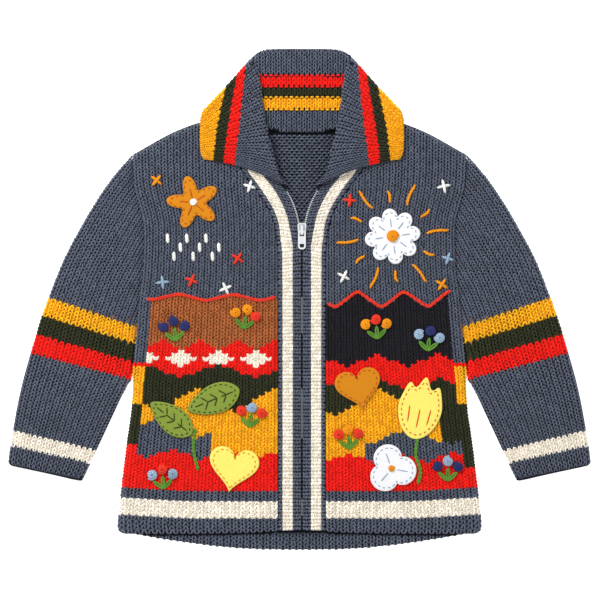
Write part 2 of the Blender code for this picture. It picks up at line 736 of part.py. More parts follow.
def main():
    clear_scene()
    scene = bpy.context.scene
    cardigan = bpy.data.collections.new("knitted_cardigan")
    helpers = bpy.data.collections.new("slider_helpers")
    scene.collection.children.link(cardigan)
    scene.collection.children.link(helpers)

    knit = material("slate_knit", SLATE, 0.9)
    tape = material("zip_tape", TAPE_GREY, 0.8)
    metal = material("bright_metal", SILVER, 0.3, 1.0)
    felts = {
        "ochre": material("ochre_felt", OCHRE, 0.95),
        "white": material("white_felt", WHITE, 0.95),
        "pale": material("pale_yellow_felt", PALE_YELLOW, 0.95),
        "olive": material("olive_felt", OLIVE, 0.95),
    }

    back("back", knit, cardigan)
    for side, wearer in ((LEFT, "right"), (RIGHT, "left")):
        front("front_" + wearer, side, knit, cardigan)
        band("front_band_" + wearer, side, knit, cardigan)
        sleeve("sleeve_" + wearer, side, knit, cardigan)
        zip_side("zip_tape_" + wearer, side, tape, cardigan)
    collar("collar", knit, cardigan)
    slider("zip_slider", metal, cardigan, helpers)
    pull_tab("zip_pull", metal, cardigan)
    for name, (_, _, paint) in FELT_SHAPES.items():
        felt(name, felts[paint], cardigan)


main()
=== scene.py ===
import math

import bpy
import numpy as np
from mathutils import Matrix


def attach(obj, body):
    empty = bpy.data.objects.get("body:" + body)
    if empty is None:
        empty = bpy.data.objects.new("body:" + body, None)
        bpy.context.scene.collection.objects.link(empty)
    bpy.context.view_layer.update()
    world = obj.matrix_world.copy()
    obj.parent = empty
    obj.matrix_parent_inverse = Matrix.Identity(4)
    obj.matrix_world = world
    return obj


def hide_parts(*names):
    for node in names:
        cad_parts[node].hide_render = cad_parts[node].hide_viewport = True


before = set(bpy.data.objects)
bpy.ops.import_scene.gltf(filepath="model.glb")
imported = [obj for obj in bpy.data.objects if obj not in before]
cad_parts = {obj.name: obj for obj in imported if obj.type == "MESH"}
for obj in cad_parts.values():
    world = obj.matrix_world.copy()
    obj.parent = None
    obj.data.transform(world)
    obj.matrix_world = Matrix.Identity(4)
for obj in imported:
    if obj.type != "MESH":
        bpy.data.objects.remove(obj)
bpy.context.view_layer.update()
DRAW = np.random.default_rng(4)

MM = 0.001
LEFT, RIGHT = -1, 1
WALL = 3.5
HALF = WALL / 2
WALE, ROW = 5.9, 3.45  # a stitch's width and height
CLOTH_TOP, CLOTH_BOTTOM = 0.5, -1.6  # faces of the cloth under the stitches, from its middle
CLOSURE_X = 2.4
UNDERARM_Y = -77.5

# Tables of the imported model, in millimetres: "out" is the distance sideways from a centre line
SIDE_EDGE = [
    (181.5, -231.5), (182.5, -223.0), (178.0, -182.0), (173.0, -142.0), (168.5, -110.0), (166.5, -77.5),
]
ARMHOLE = [
    (166.5, -77.5), (162.5, -41.5), (159.5, -6.5), (155.5, 25.5), (154.0, 58.5),
    (155.0, 78.5), (159.5, 96.0), (164.0, 114.0), (165.5, 144.5),
]
SHOULDER = [(165.5, 144.5), (139.5, 159.5), (121.5, 168.5), (100.5, 176.0), (82.0, 178.6), (64.3, 179.4)]
FRONT_HEM = [
    (181.0, -231.5), (176.0, -234.3), (165.0, -234.8), (100.0, -234.8), (45.0, -233.6), (24.0, -232.0),
]
BACK_HEM = [(176.4, -232.5), (160.0, -236.0), (120.0, -242.5), (80.0, -247.5), (45.0, -250.0), (0.0, -250.7)]
BACK_NECK = [(49.9, 173.8), (46.0, 171.4), (38.0, 168.6), (24.0, 166.3), (0.0, 165.3)]
BAND = [  # outer out, outer y, inner out, inner y
    (23.6, -231.8, 0.75, -231.0), (23.6, -222.0, 0.75, -222.0), (23.6, -185.0, 0.75, -185.0),
    (23.6, -140.0, 0.75, -140.0), (23.6, -90.0, 0.75, -90.0), (23.6, -80.0, 0.75, -80.0),
    (23.6, -40.0, 0.75, -40.0), (23.8, 10.0, 0.75, 10.0), (24.0, 42.0, 0.75, 46.0),
    (24.6, 52.0, 0.75, 52.0), (25.4, 63.0, 4.75, 60.0), (27.9, 76.5, 4.75, 76.0),
    (34.4, 92.0, 7.4, 87.5), (43.9, 106.5, 11.9, 99.5), (51.9, 117.5, 17.4, 109.0),
    (58.9, 126.5, 25.9, 119.5), (63.9, 138.5, 33.9, 131.5), (65.9, 150.5, 39.9, 143.5),
    (66.2, 164.5, 44.4, 158.5), (66.2, 177.8, 49.4, 177.8),
]
SLEEVE_TOP_EDGE = [
    (292.4, -165.5), (290.5, -148.0), (282.5, -101.5), (272.5, -61.5), (259.5, -21.5),
    (245.5, 18.5), (226.5, 58.5), (209.5, 88.5), (189.5, 118.5), (169.4, 141.8),
]
SLEEVE_UNDER_EDGE = [(215.9, -181.5), (206.5, -161.5), (192.5, -131.5), (178.5, -101.5), (169.0, -80.5)]
SLEEVE_CROWN = 2.2
COLLAR = [  # seam out, y, roll out, y, edge out, y, seam z, z before, z after, edge z, bow
    (0.0, 166.2, 0.0, 248.8, 0.0, 185.5, 5.6, 5.9, 1.75, 1.75, 0.0),
    (18.0, 166.6, 18.0, 248.8, 20.5, 185.5, 5.65, 5.9, 1.75, 1.75, 0.0),
    (31.5, 168.8, 32.0, 248.4, 43.0, 186.0, 5.7, 5.85, 1.75, 1.75, 0.0),
    (41.5, 173.0, 43.0, 245.4, 70.0, 189.5, 5.75, 5.8, 1.75, 1.75, 0.0),
    (46.0, 177.6, 50.6, 238.4, 95.5, 188.0, 5.9, 5.8, 4.9, 4.8, 0.0),
    (47.4, 176.0, 45.4, 230.5, 101.0, 180.5, 6.2, 6.0, 10.4, 8.8, 0.0),
    (46.5, 171.5, 42.2, 214.5, 101.4, 172.5, 6.3, 6.6, 12.0, 9.5, 0.0),
    (44.8, 165.2, 39.6, 193.5, 101.8, 164.5, 6.4, 7.3, 13.4, 9.7, 0.0),
    (42.2, 156.0, 36.2, 172.5, 101.6, 156.5, 6.6, 8.1, 14.0, 9.95, 0.0),
    (38.4, 144.2, 31.4, 152.5, 101.4, 150.5, 6.8, 8.6, 14.0, 9.9, -1.2),
    (32.4, 132.4, 26.6, 135.5, 101.0, 146.3, 7.2, 9.0, 13.6, 9.7, -2.5),
    (24.4, 120.6, 22.0, 121.5, 99.6, 142.6, 7.7, 9.3, 13.2, 9.55, -3.5),
    (15.2, 110.8, 15.0, 112.2, 97.2, 139.3, 8.3, 9.0, 13.4, 9.4, -4.0),
]
ZIP_EDGE = [
    (0.95, -229.0), (0.95, -120.0), (0.95, 0.0), (0.95, 61.5), (2.0, 69.5),
    (3.4, 75.5), (5.4, 84.5), (9.6, 96.5), (15.4, 107.0),
]


# Numbers and curves
def smooth(value):
    value = np.clip(value, 0.0, 1.0)
    return value * value * (3.0 - 2.0 * value)


def refine(rows, steps):
    """The rows of a table with steps sections to each interval, on a smooth curve through them."""
    rows = np.asarray(rows, float)
    result = []
    for index in range(len(rows) - 1):
        a, b = rows[max(index - 1, 0)], rows[index]
        c, d = rows[index + 1], rows[min(index + 2, len(rows) - 1)]
        for step in range(steps):
            t = step / steps
            curve = 2 * b + (c - a) * t + (2 * a - 5 * b + 4 * c - d) * t * t
            result.append(0.5 * (curve + (3 * b - a - 3 * c + d) * t**3))
    result.append(rows[-1])
    return np.array(result)


def read(table, where, column, key):
    """A column of a table at values of its key column, which rises."""
    return np.interp(where, table[:, key], table[:, column])


def run(line):
    """How far along a line each of its points lies."""
    return np.concatenate([[0], np.cumsum(np.linalg.norm(np.diff(line, axis=0), axis=1))])


def along_line(line, distance):
    """Points of a flat line at distances along it."""
    return np.stack([np.interp(distance, run(line), line[:, k]) for k in range(2)], axis=-1)


def at_share(line, share):
    """Points of a flat line at shares of its length."""
    return along_line(line, np.asarray(share) * run(line)[-1])


def unit(vectors):
    return vectors / np.maximum(np.linalg.norm(vectors, axis=-1, keepdims=True), 1e-9)


def grid_normals(points):
    return unit(np.cross(np.gradient(points, axis=1), np.gradient(points, axis=0)))


def parts(points):
    """The x, y and z of an array of points."""
    return np.moveaxis(points, -1, 0)


EDGE_LINE = np.vstack([refine(SIDE_EDGE, 8), refine(ARMHOLE, 8)[1:]])
SHOULDER_LINE = refine(SHOULDER, 8)[::-1]
HEM_LINE = refine(FRONT_HEM, 6)[::-1]
BACK_HEM_LINE = refine(BACK_HEM, 6)[::-1]
BAND_LINE = refine(BAND, 6)
COLLAR_LINE = refine(COLLAR, 8)


def edge_out(y):
    return read(EDGE_LINE, y, 0, 1)


def shoulder_y(out):
    return read(SHOULDER_LINE, out, 1, 0)


def band_out(y):
    return read(BAND_LINE, y, 0, 1)


# Soft creases, as ridges and troughs between two points: x, y, x, y, half width, height
FRONT_FOLDS = [
    (-158, -70, -100, -34, 9.0, 0.7), (-150, -96, -84, -84, 11.0, -0.3), (-150, -120, -112, -176, 13.0, 0.5),
    (156, -64, 96, -44, 10.0, 0.6), (150, -92, 104, -104, 9.0, -0.3), (146, -140, 100, -190, 14.0, 0.55),
    (-60, 10, -48, -60, 12.0, 0.4), (52, 96, 84, 20, 13.0, 0.45), (-132, 60, -90, 130, 14.0, 0.4),
    (128, 40, 118, 120, 12.0, 0.35), (-40, -150, -60, -214, 12.0, 0.4), (64, -130, 44, -200, 11.0, 0.4),
]
SLEEVE_FOLDS = [
    (-176, -60, -236, -4, 9.0, 0.9), (-186, -84, -252, -58, 8.0, 0.7), (-200, -118, -268, -96, 10.0, 0.6),
    (-172, 20, -214, 60, 11.0, 0.6), (-230, -150, -280, -128, 9.0, 0.5), (-172, 84, -190, 104, 8.0, 0.4),
    (174, -52, 232, -14, 9.0, 0.8), (184, -88, 256, -50, 9.0, 0.8), (196, -126, 262, -108, 9.0, 0.6),
    (170, 28, 216, 52, 12.0, 0.6), (226, -142, 284, -134, 10.0, 0.5), (176, 92, 188, 110, 8.0, 0.4),
]
UNDERSIDE_FOLDS = [
    (-140, -60, -70, 20, 10.0, 0.5), (120, -90, 50, -10, 12.0, 0.5), (-120, 90, -40, 120, 10.0, 0.4),
    (90, 60, 30, 130, 11.0, 0.4), (-90, -180, -30, -120, 12.0, 0.45), (60, -200, 120, -140, 11.0, 0.45),
]


def relief(x, y, folds):
    total = np.zeros(np.broadcast(x, y).shape)
    for x0, y0, x1, y1, width, height in folds:
        length = math.hypot(x1 - x0, y1 - y0)
        ux, uy = (x1 - x0) / length, (y1 - y0) / length
        along = ((x - x0) * ux + (y - y0) * uy) / length
        across = (x - x0) * -uy + (y - y0) * ux + 5.0 * np.sin(along * 3.0 + width)
        fade = smooth(along / 0.3 + 0.5) * smooth((1 - along) / 0.3 + 0.5)
        total = total + height * fade * np.exp(-((across / width) ** 2))
    return total


def front_height(x):
    return 5.55 + 3.0 * smooth(1.0 - abs(x - CLOSURE_X) / 70.0)


def front_top(x, y):
    """Height of the knitted face of the fronts and bands."""
    return front_height(x) + HALF + relief(x, y, FRONT_FOLDS)


# Materials
def linear(rgb):
    """An sRGB colour of 0 to 255 as the linear values a shader takes."""
    values = [(c / 255 / 12.92) if c <= 10 else ((c / 255 + 0.055) / 1.055) ** 2.4 for c in rgb]
    return (*values, 1.0)


def principled(name, rgb, roughness, metallic=0.0, sheen=0.0):
    made = bpy.data.materials.new(name)
    made.use_nodes = True
    shader = made.node_tree.nodes["Principled BSDF"]
    shader.inputs["Base Color"].default_value = linear(rgb)
    shader.inputs["Roughness"].default_value = roughness
    shader.inputs["Metallic"].default_value = metallic
    shader.inputs["Sheen Weight"].default_value = sheen
    shader.inputs["Specular IOR Level"].default_value = 0.5 if metallic else 0.25
    made.diffuse_color = linear(rgb)
    return made, made.node_tree, shader


def feed(tree, socket, value):
    """Links a socket to another one, or sets its number or colour."""
    if isinstance(value, bpy.types.NodeSocket):
        tree.links.new(value, socket)
    else:
        socket.default_value = value


def add(tree, kind, output, inputs=(), **settings):
    """The named output of a new shader node, whose inputs are fed by name or by number."""
    node = tree.nodes.new("ShaderNode" + kind)
    for key, value in settings.items():
        setattr(node, key, value)
    for key, value in dict(inputs).items():
        feed(tree, node.inputs[key], value)
    return node.outputs[output]


def stretch(tree, value, low, high, start=0.0, end=1.0):
    limits = {"Value": value, "From Min": start, "From Max": end, "To Min": low, "To Max": high}
    return add(tree, "MapRange", "Result", limits)


def calculate(tree, operation, *values):
    return add(tree, "Math", "Value", dict(enumerate(values)), operation=operation)


def tinted(tree, shader, rgb, value):
    """Makes the shader's colour lighter or darker by a value."""
    tint = add(tree, "HueSaturation", "Color", {"Color": linear(rgb), "Value": value})
    feed(tree, shader.inputs["Base Color"], tint)


def bumped(tree, shader, *bumps):
    """Lays bumps over one another: height, strength and distance in millimetres."""
    normal = None
    for height, strength, distance in bumps:
        inputs = {"Height": height, "Strength": strength, "Distance": distance * MM}
        if normal:
            inputs["Normal"] = normal
        normal = add(tree, "Bump", "Normal", inputs)
    feed(tree, shader.inputs["Normal"], normal)


def yarn(name, rgb, low=0.8, high=1.16, strength=0.5):
    """Wool: plies that twist along the strand's UVs, with painted shade in the grooves between them and
    painted highlight on their crests, fine fuzz, and strands of uneven lightness.
    """
    made, tree, shader = principled(name, rgb, 0.9, sheen=0.03)
    wave = {"Vector": add(tree, "TexCoord", "UV"), "Scale": 1.0, "Distortion": 0.6, "Detail": 1.0}
    twist = add(tree, "TexWave", "Fac", wave, wave_type="BANDS", bands_direction="DIAGONAL")
    noise = {"Vector": add(tree, "TexCoord", "Object"), "Scale": 1400.0, "Detail": 2.0}
    fuzz = add(tree, "TexNoise", "Fac", noise)
    strand = stretch(tree, add(tree, "NewGeometry", "Random Per Island"), low, high)
    # painted shade and highlight: the colour darkens and lightens with the same twist waves as the bump
    tinted(tree, shader, rgb, calculate(tree, "MULTIPLY", stretch(tree, twist, 0.62, 1.22), strand))
    bumped(tree, shader, (twist, strength, 0.35), (fuzz, 0.5, 0.25))
    return made


def ground(name, rgb, turn=0.0):
    """The knitted cloth under the stitches, in a darker colour that paints the shade between them, with rows
    of V shapes in its bump.
    """
    made, tree, shader = principled(name, rgb, 0.95)
    place = {"Vector": add(tree, "TexCoord", "Object"), "Rotation": (0.0, 0.0, turn)}
    turned = {"Vector": add(tree, "Mapping", "Vector", place)}
    wale = calculate(tree, "PINGPONG", add(tree, "SeparateXYZ", "X", turned), WALE / 2 * MM)
    lean = calculate(tree, "MULTIPLY", wale, 0.9)
    row = calculate(tree, "SUBTRACT", add(tree, "SeparateXYZ", "Y", turned), lean)

    def ripple(value, length):
        wave = calculate(tree, "SINE", calculate(tree, "MULTIPLY", value, math.pi / (length * MM)))
        return calculate(tree, "ABSOLUTE", wave)

    height = calculate(tree, "MULTIPLY", ripple(row, ROW), ripple(wale, WALE / 2))
    bumped(tree, shader, (height, 0.9, 1.4))
    return made


def felt_cloth(name, rgb):
    """Felt: matted fibres, in faintly lighter and darker patches."""
    made, tree, shader = principled(name, rgb, 0.96, sheen=0.1)
    noise = {"Vector": add(tree, "TexCoord", "Object"), "Scale": 620.0, "Detail": 6.0, "Roughness": 0.75}
    fuzz = add(tree, "TexNoise", "Fac", noise)
    tinted(tree, shader, rgb, stretch(tree, fuzz, 0.94, 1.12, 0.3, 0.7))
    bumped(tree, shader, (fuzz, 1.0, 1.3))
    return made


COLOURS = {
    "slate": (92, 99, 115), "cream": (255, 248, 234), "red": (252, 28, 15), "mustard": (255, 188, 24),
    "forest": (50, 54, 30), "brown": (184, 106, 56), "ink": (32, 30, 38),
}
YARNS = [yarn("yarn_" + name, rgb) for name, rgb in COLOURS.items()]
SHADED_GAPS = {  # painted shade: darker copies of the yarn colours for the cloth between the stitches
    "slate": (22, 25, 35), "cream": (234, 218, 194), "red": (200, 16, 12), "mustard": (232, 138, 10),
    "forest": (20, 22, 12), "brown": (112, 58, 28), "ink": (10, 9, 12),
}
# the cloth under the stitches gets these darker colours as painted shade
SHADED_GROUNDS = [ground("shaded_ground_" + name, rgb) for name, rgb in SHADED_GAPS.items()]
SLATE, CREAM, RED, MUSTARD, FOREST, BROWN, INK = range(7)


# Meshes
def build(name, points, faces, paints, index=None, uvs=None, smoothed=True):
    """A mesh object from arrays: points in millimetres, and faces of four corners."""
    mesh = bpy.data.meshes.new(name)
    mesh.vertices.add(len(points))
    mesh.vertices.foreach_set("co", (np.asarray(points) * MM).astype(np.float32).ravel())
    mesh.loops.add(faces.size)
    mesh.loops.foreach_set("vertex_index", faces.astype(np.int32).ravel())
    mesh.polygons.add(len(faces))
    mesh.polygons.foreach_set("loop_start", np.arange(0, faces.size, faces.shape[1], dtype=np.int32))
    for paint in paints:
        mesh.materials.append(paint)
    if index is not None:
        mesh.polygons.foreach_set("material_index", np.asarray(index, np.int32))
    mesh.polygons.foreach_set("use_smooth", np.full(len(faces), smoothed))
    if uvs is not None:
        layer = mesh.uv_layers.new(name="UVMap")
        layer.data.foreach_set("uv", uvs.astype(np.float32).ravel())
    mesh.update(calc_edges=True)
    mesh.validate()
    obj = bpy.data.objects.new(name, mesh)
    bpy.context.scene.collection.objects.link(obj)
    return obj


class Surface:
    """A knitted face over (wale, row), read between the lines of its grid."""

    def __init__(self, place, wales, rows, flip=False, fine=2):
        self.fine = fine
        self.u = np.linspace(-1, wales + 1, (wales + 2) * fine + 1)
        self.v = np.linspace(-1, rows + 1, (rows + 2) * fine + 1)
        self.points = place(*np.meshgrid(self.u, self.v))
        self.normals = grid_normals(self.points)
        if flip:
            self.normals = -self.normals

    def at(self, u, v, lift=0.0):
        i = np.clip((u + 1) * self.fine, 0, len(self.u) - 1.001)
        j = np.clip((v + 1) * self.fine, 0, len(self.v) - 1.001)
        i0, j0 = i.astype(int), j.astype(int)
        fi, fj = (i - i0)[..., None], (j - j0)[..., None]

        def mix(grid):
            low = grid[j0, i0] * (1 - fi) + grid[j0, i0 + 1] * fi
            high = grid[j0 + 1, i0] * (1 - fi) + grid[j0 + 1, i0 + 1] * fi
            return low * (1 - fj) + high * fj

        return mix(self.points) + unit(mix(self.normals)) * np.asarray(lift)[..., None]


ARC = np.radians([-108.0, -54.0, 0.0, 54.0, 108.0])


def strip_faces(rings, sides):
    """Faces between rings of points, as rows of four corners."""
    ring, side = np.meshgrid(np.arange(rings - 1), np.arange(sides - 1), indexing="ij")
    first = (ring * sides + side).ravel()
    return np.stack([first, first + 1, first + sides + 1, first + sides], axis=1)


def strand_uvs(t):
    """UVs of a stitch's strand: along it, and across its upper side."""
    across = np.linspace(0, 0.8, len(ARC))
    return np.stack(np.meshgrid(t * 1.5, across, indexing="ij"), axis=-1).reshape(-1, 2)


def leg(side, wale=WALE, row=ROW, low=-0.74, high=0.62, lean_in=0.045, lean_out=0.40, wide=0.9):
    """One leg of a knit stitch, in wales, rows and millimetres of height."""
    t = np.array([0.0, 0.2, 0.5, 0.8, 1.0])
    middle_a = side * (lean_in + lean_out * t**0.85) * wale
    middle_b = (low + (high - low) * t) * row
    middle_h = -0.85 - 1.0 * (2 * t - 1) ** 2 - 0.25 * (1 - t)
    size = np.array([0.5, 0.92, 1.0, 0.92, 0.45])[:, None]
    lean = np.array([np.gradient(middle_a), np.gradient(middle_b)])
    lean /= np.linalg.norm(lean, axis=0)
    a = middle_a[:, None] + lean[1][:, None] * np.sin(ARC) * wide * size
    b = middle_b[:, None] - lean[0][:, None] * np.sin(ARC) * wide * size
    h = middle_h[:, None] + np.cos(ARC) * 1.05 * size
    return np.stack([a / wale, b / row, h], axis=-1).reshape(-1, 3), strand_uvs(t)


def knit_stitch(**shape):
    (left, uvs), (right, _) = leg(-1, **shape), leg(1, **shape)
    faces = strip_faces(5, 5)
    return np.vstack([left, right]), np.vstack([faces, faces + len(left)]), np.vstack([uvs, uvs])


def purl_stitch(wale=5.0, row=2.9, width=1.0, arch=0.55):
    """The bump on the wrong side of a stitch: a strand that arches across the wale."""
    t = np.array([0.0, 0.22, 0.5, 0.78, 1.0])
    middle_b = np.sin(math.pi * t) * arch * row
    middle_h = -1.0 - 0.85 * (2 * t - 1) ** 2
    size = np.array([0.6, 0.95, 1.0, 0.95, 0.6])[:, None]
    a = ((t - 0.5) * width * wale)[:, None] + np.zeros(len(ARC))
    b = middle_b[:, None] + np.sin(ARC) * 0.95 * size
    h = middle_h[:, None] + np.cos(ARC) * size
    points = np.stack([a / wale, b / row, h], axis=-1).reshape(-1, 3)
    return points, strip_faces(5, 5), strand_uvs(t)


KNIT = knit_stitch()
FLAT_KNIT = knit_stitch(wale=7.0, low=-0.6, high=0.5, lean_in=0.1, lean_out=0.3, wide=1.4)
PURL, DOT = purl_stitch(), purl_stitch(width=0.74, arch=0.1)


def stitches(name, surface, wale, row, index, clamp=None, kind=KNIT, slot="body_knit"):
    """Joined stitches, one at each wale and row of a surface."""
    shape, faces, uvs = kind
    cells = np.stack([wale, row], axis=1).astype(float)
    count, size = len(cells), len(shape)
    grow = 1 + DRAW.normal(0, 0.035, (count, 1))
    turn = DRAW.normal(0, 0.035, (count, 1))
    shift = DRAW.normal(0, 0.025, (count, 2))
    u = cells[:, :1] + 0.5 + shift[:, :1] + shape[None, :, 0] * grow + shape[None, :, 1] * turn * 0.6
    v = cells[:, 1:] + 0.5 + shift[:, 1:] + shape[None, :, 1] * grow
    if kind is PURL:
        u = u + 0.5 * (cells[:, 1:] % 2)
    lift = HALF + 0.1 + shape[None, :, 2] + DRAW.normal(0, 0.06, (count, 1))
    points = surface.at(u, v, lift)
    if clamp:
        points = clamp(points)
    corners = faces[None] + size * np.arange(count)[:, None, None]
    spot = uvs[faces][None] + DRAW.uniform(0, 3, (count, 1, 1, 2))
    obj = build(
        name, points.reshape(-1, 3), corners.reshape(-1, 4), YARNS,
        np.repeat(index, len(faces)), spot.reshape(-1, 2),
    )
    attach(obj, "garment")
    return obj


def cells_of(surface, wales, rows, start=0):
    """The wale and row of each cell of a surface, and the cell's middle."""
    wale, row = np.meshgrid(np.arange(start, wales), np.arange(start, rows))
    return wale, row, parts(surface.at(wale + 0.5, row + 0.5))


def cloth_faces(surface, u, v, clamp=None):
    """The two faces of the cloth under the stitches, over a grid of wales and rows."""
    faces = [surface.at(u, v, np.full(u.shape, lift)) for lift in (CLOTH_TOP, CLOTH_BOTTOM)]
    return [clamp(points) for points in faces] if clamp else faces


SHEETS = []  # object, flat size, what it rests on, area, pieces of knit


def shell(
    name, upper, lower, index, paints, node, flat, rests_on, pieces=(),
    keep=None, slot="body_knit", ring=False,
):
    """A closed piece of cloth between two grids of points, over the cells that are kept.

    The last column of a ring is its first. The piece is noted as a sheet, together with its knit.
    """
    index = np.asarray(index)
    keep = np.ones(index.shape, bool) if keep is None else keep
    rows, columns = keep.shape
    corner = np.arange((rows + 1) * (columns + 1)).reshape(rows + 1, columns + 1)
    if ring:
        corner[:, -1] = corner[:, 0]
    quads = np.stack([corner[:-1, :-1], corner[:-1, 1:], corner[1:, 1:], corner[1:, :-1]], axis=-1)[keep]
    edges = np.concatenate([quads[:, [k, (k + 1) % 4]] for k in range(4)])
    owner = np.tile(np.arange(len(quads)), 4)
    size = corner.size
    free = ~np.isin(edges[:, 0] * size + edges[:, 1], edges[:, 1] * size + edges[:, 0])
    rim, rim_owner = edges[free], owner[free]
    walls = np.stack([rim[:, 1], rim[:, 0], rim[:, 0] + size, rim[:, 1] + size], axis=1)
    faces = np.vstack([quads, quads[:, ::-1] + size, walls])
    points = np.vstack([upper.reshape(-1, 3), lower.reshape(-1, 3)])
    paint = index[keep]
    paint = np.concatenate([paint, paint, paint[rim_owner]])
    used, inverse = np.unique(faces, return_inverse=True)
    obj = build(name, points[used], inverse.reshape(faces.shape), paints, paint)
    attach(obj, "garment")
    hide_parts(node)
    a, b, c, d = (points[quads[:, k]] for k in range(4))
    area = float(np.linalg.norm(np.cross(c - a, d - b), axis=1).sum() / 2) * MM * MM
    SHEETS.append((obj, flat, rests_on, area, list(pieces)))


FRONT_WALES, FRONT_ROWS = 23, 119
ROW_MARKS = (0.0, 4.0, 8.0, 38.0, 119.0)  # rows at which the fronts' courses have a set height


def front_rows(v, out):
    """Height of a course: it follows the hem at first, and lies level from the chest up."""
    lift = 4.5 * smooth((out - 84.0) / 87.0)
    hem = read(HEM_LINE, out, 1, 0)
    levels = [hem, -219.5 + lift, -202.5 + lift, -100.0 + 0.4 * lift, 180.0]
    for k in range(4):
        share = (v - ROW_MARKS[k]) / (ROW_MARKS[k + 1] - ROW_MARKS[k])
        reached = levels[k] + share * (levels[k + 1] - levels[k])
        y = np.where(v > ROW_MARKS[k], reached, y) if k else reached
    return y


def front_place(side):
    inner = 23.9 + side * CLOSURE_X
    reach = 3.4  # how far in from the edge the cloth starts to turn down

    def place(u, v):
        guess = inner + (1 - u / FRONT_WALES) * (148.0 - inner + 6)
        y = front_rows(v, guess)
        rolled = smooth((UNDERARM_Y + 4 - y) / 12.0)
        drop = 1.7 + 3.55 * rolled
        turned = math.pi / 2 * np.sqrt((reach**2 + drop**2) / 2)
        edge = edge_out(y) - HALF * rolled + 0.2 * (1 - rolled)
        q = u / FRONT_WALES * (turned + edge - reach - inner)
        angle = np.clip(q / turned, 0, 1) * math.pi / 2
        out = np.where(q < turned, edge - reach * (1 - np.cos(angle)), edge - reach - (q - turned))
        out = np.where(q < 0, edge, out)
        x = side * out
        top = np.clip((shoulder_y(out) - HALF - y) / 3.4, 0, 1)
        low = np.clip((y - read(HEM_LINE, out, 1, 0)) / 3.0, 0, 1)
        z = front_height(x) - drop * (1 - np.sin(angle)) + np.where(q < 0, q, 0)
        z = z - 5.2 * (1 - np.sqrt(1 - (1 - top) ** 2)) - 1.0 * (1 - smooth(low))
        z = z + relief(x, y, FRONT_FOLDS) * smooth((edge - out) / 12.0)
        return np.stack([x, y, z], axis=-1)

    return place


def front_clamp(side):
    """Keeps the front's stitches outside the band, and inside the shoulder and the hem."""

    def clamp(points):
        x, y, z = parts(points)
        out = side * (x - CLOSURE_X)
        limit = band_out(y) + 0.3
        over = np.maximum(limit - out, 0)
        z = z - 0.4 * np.clip(over / 2, 0, 1) - 0.7 * np.exp(-np.maximum(out - limit, 0) / 1.3)
        x = np.where(out < limit, CLOSURE_X + side * limit, x)
        y = np.minimum(y, shoulder_y(side * x) - 0.2)
        y = np.maximum(y, read(HEM_LINE, side * x, 1, 0) - 0.4)
        return np.stack([x, y, np.maximum(z, 0.1)], axis=-1)

    return clamp


def steps(k, period, height):
    """A stepped zigzag over wale numbers."""
    return np.abs((k % period) - period / 2) * 2 * height / period


# Fields of the fronts, each over those before: top row, the shift, period and height of its
# steps, the wales between which it lies, counted from the band, and its colour
FRONT_FIELDS = {
    LEFT: (
        (66, 2, 9, 2, 0, 23, BROWN), (52, 0, 6, 3, 0, 23, RED), (44, 3, 12, 4, 0, 23, FOREST),
        (34, 0, 12, 7, 0, 23, MUSTARD), (26, 6, 12, 6, 10, 23, SLATE), (20, 1, 8, 3, 0, 23, RED),
    ),
    RIGHT: (
        (64, 3, 8, 5, 0, 23, INK), (47, 2, 10, 4, 0, 23, RED), (40, 2, 10, 4, 0, 23, FOREST),
        (33, 6, 14, 8, 0, 18, MUSTARD), (24, 2, 14, 5, 6, 23, SLATE), (19, 5, 8, 3, 0, 23, RED),
    ),
}
FIELD_START = 11
SIDE_WALES = 2  # plain stripes run up these wales beside the side seam
SIDE_TOPS = {LEFT: 24, RIGHT: 17}


def front_paint(side, wale, row):
    """Colours of the fronts: a cream stripe at the hem, and stepped fields above it."""
    k = FRONT_WALES - 1 - wale
    paint = np.full(wale.shape, SLATE)
    for top, shift, period, height, first, last, colour in FRONT_FIELDS[side]:
        below = row < top + np.round(steps(k + shift, period, height))
        paint[(row >= FIELD_START) & below & (k >= first) & (k < last)] = colour
    if side == LEFT:
        diamonds = (row >= 47) & (row < 52) & (np.abs((k % 6) - 3) + np.abs(row - 49) < 3)
        paint[diamonds & (paint == RED)] = CREAM
    bottom = FIELD_START
    for top, colour in ((SIDE_TOPS[side], RED), (36, FOREST), (47, MUSTARD), (48, RED), (119, SLATE)):
        paint[(wale < SIDE_WALES) & (row >= bottom) & (row < top)] = colour
        bottom = top
    paint[(row >= 4) & (row < 8)] = CREAM
    return paint


def make_front(side, wearer):
    surface = Surface(front_place(side), FRONT_WALES, FRONT_ROWS, flip=side == RIGHT)
    clamp = front_clamp(side)
    wale, row, (x, y, _) = cells_of(surface, FRONT_WALES, FRONT_ROWS)
    inside = (side * (x - CLOSURE_X) > band_out(y) - 0.6) & (y < shoulder_y(side * x) + 0.3)
    paint = front_paint(side, wale, row)
    knit = stitches(
        "front_knit_" + wearer, surface, wale[inside], row[inside], paint[inside], clamp,
    )
    u, v = np.meshgrid(np.arange(FRONT_WALES + 1.0), np.arange(FRONT_ROWS + 1.0))
    x, y, _ = parts(surface.at(u, v))
    within = (side * (x - CLOSURE_X) > band_out(y)) & (y < shoulder_y(side * x))
    shell(
        "front_cloth_" + wearer, *cloth_faces(surface, u, v, clamp), paint, SHADED_GROUNDS,
        "front_" + wearer, (0.168, 0.42), ["back"], [knit],
        keep=within[:-1, :-1] | within[1:, :-1] | within[:-1, 1:] | within[1:, 1:],
    )
    return surface


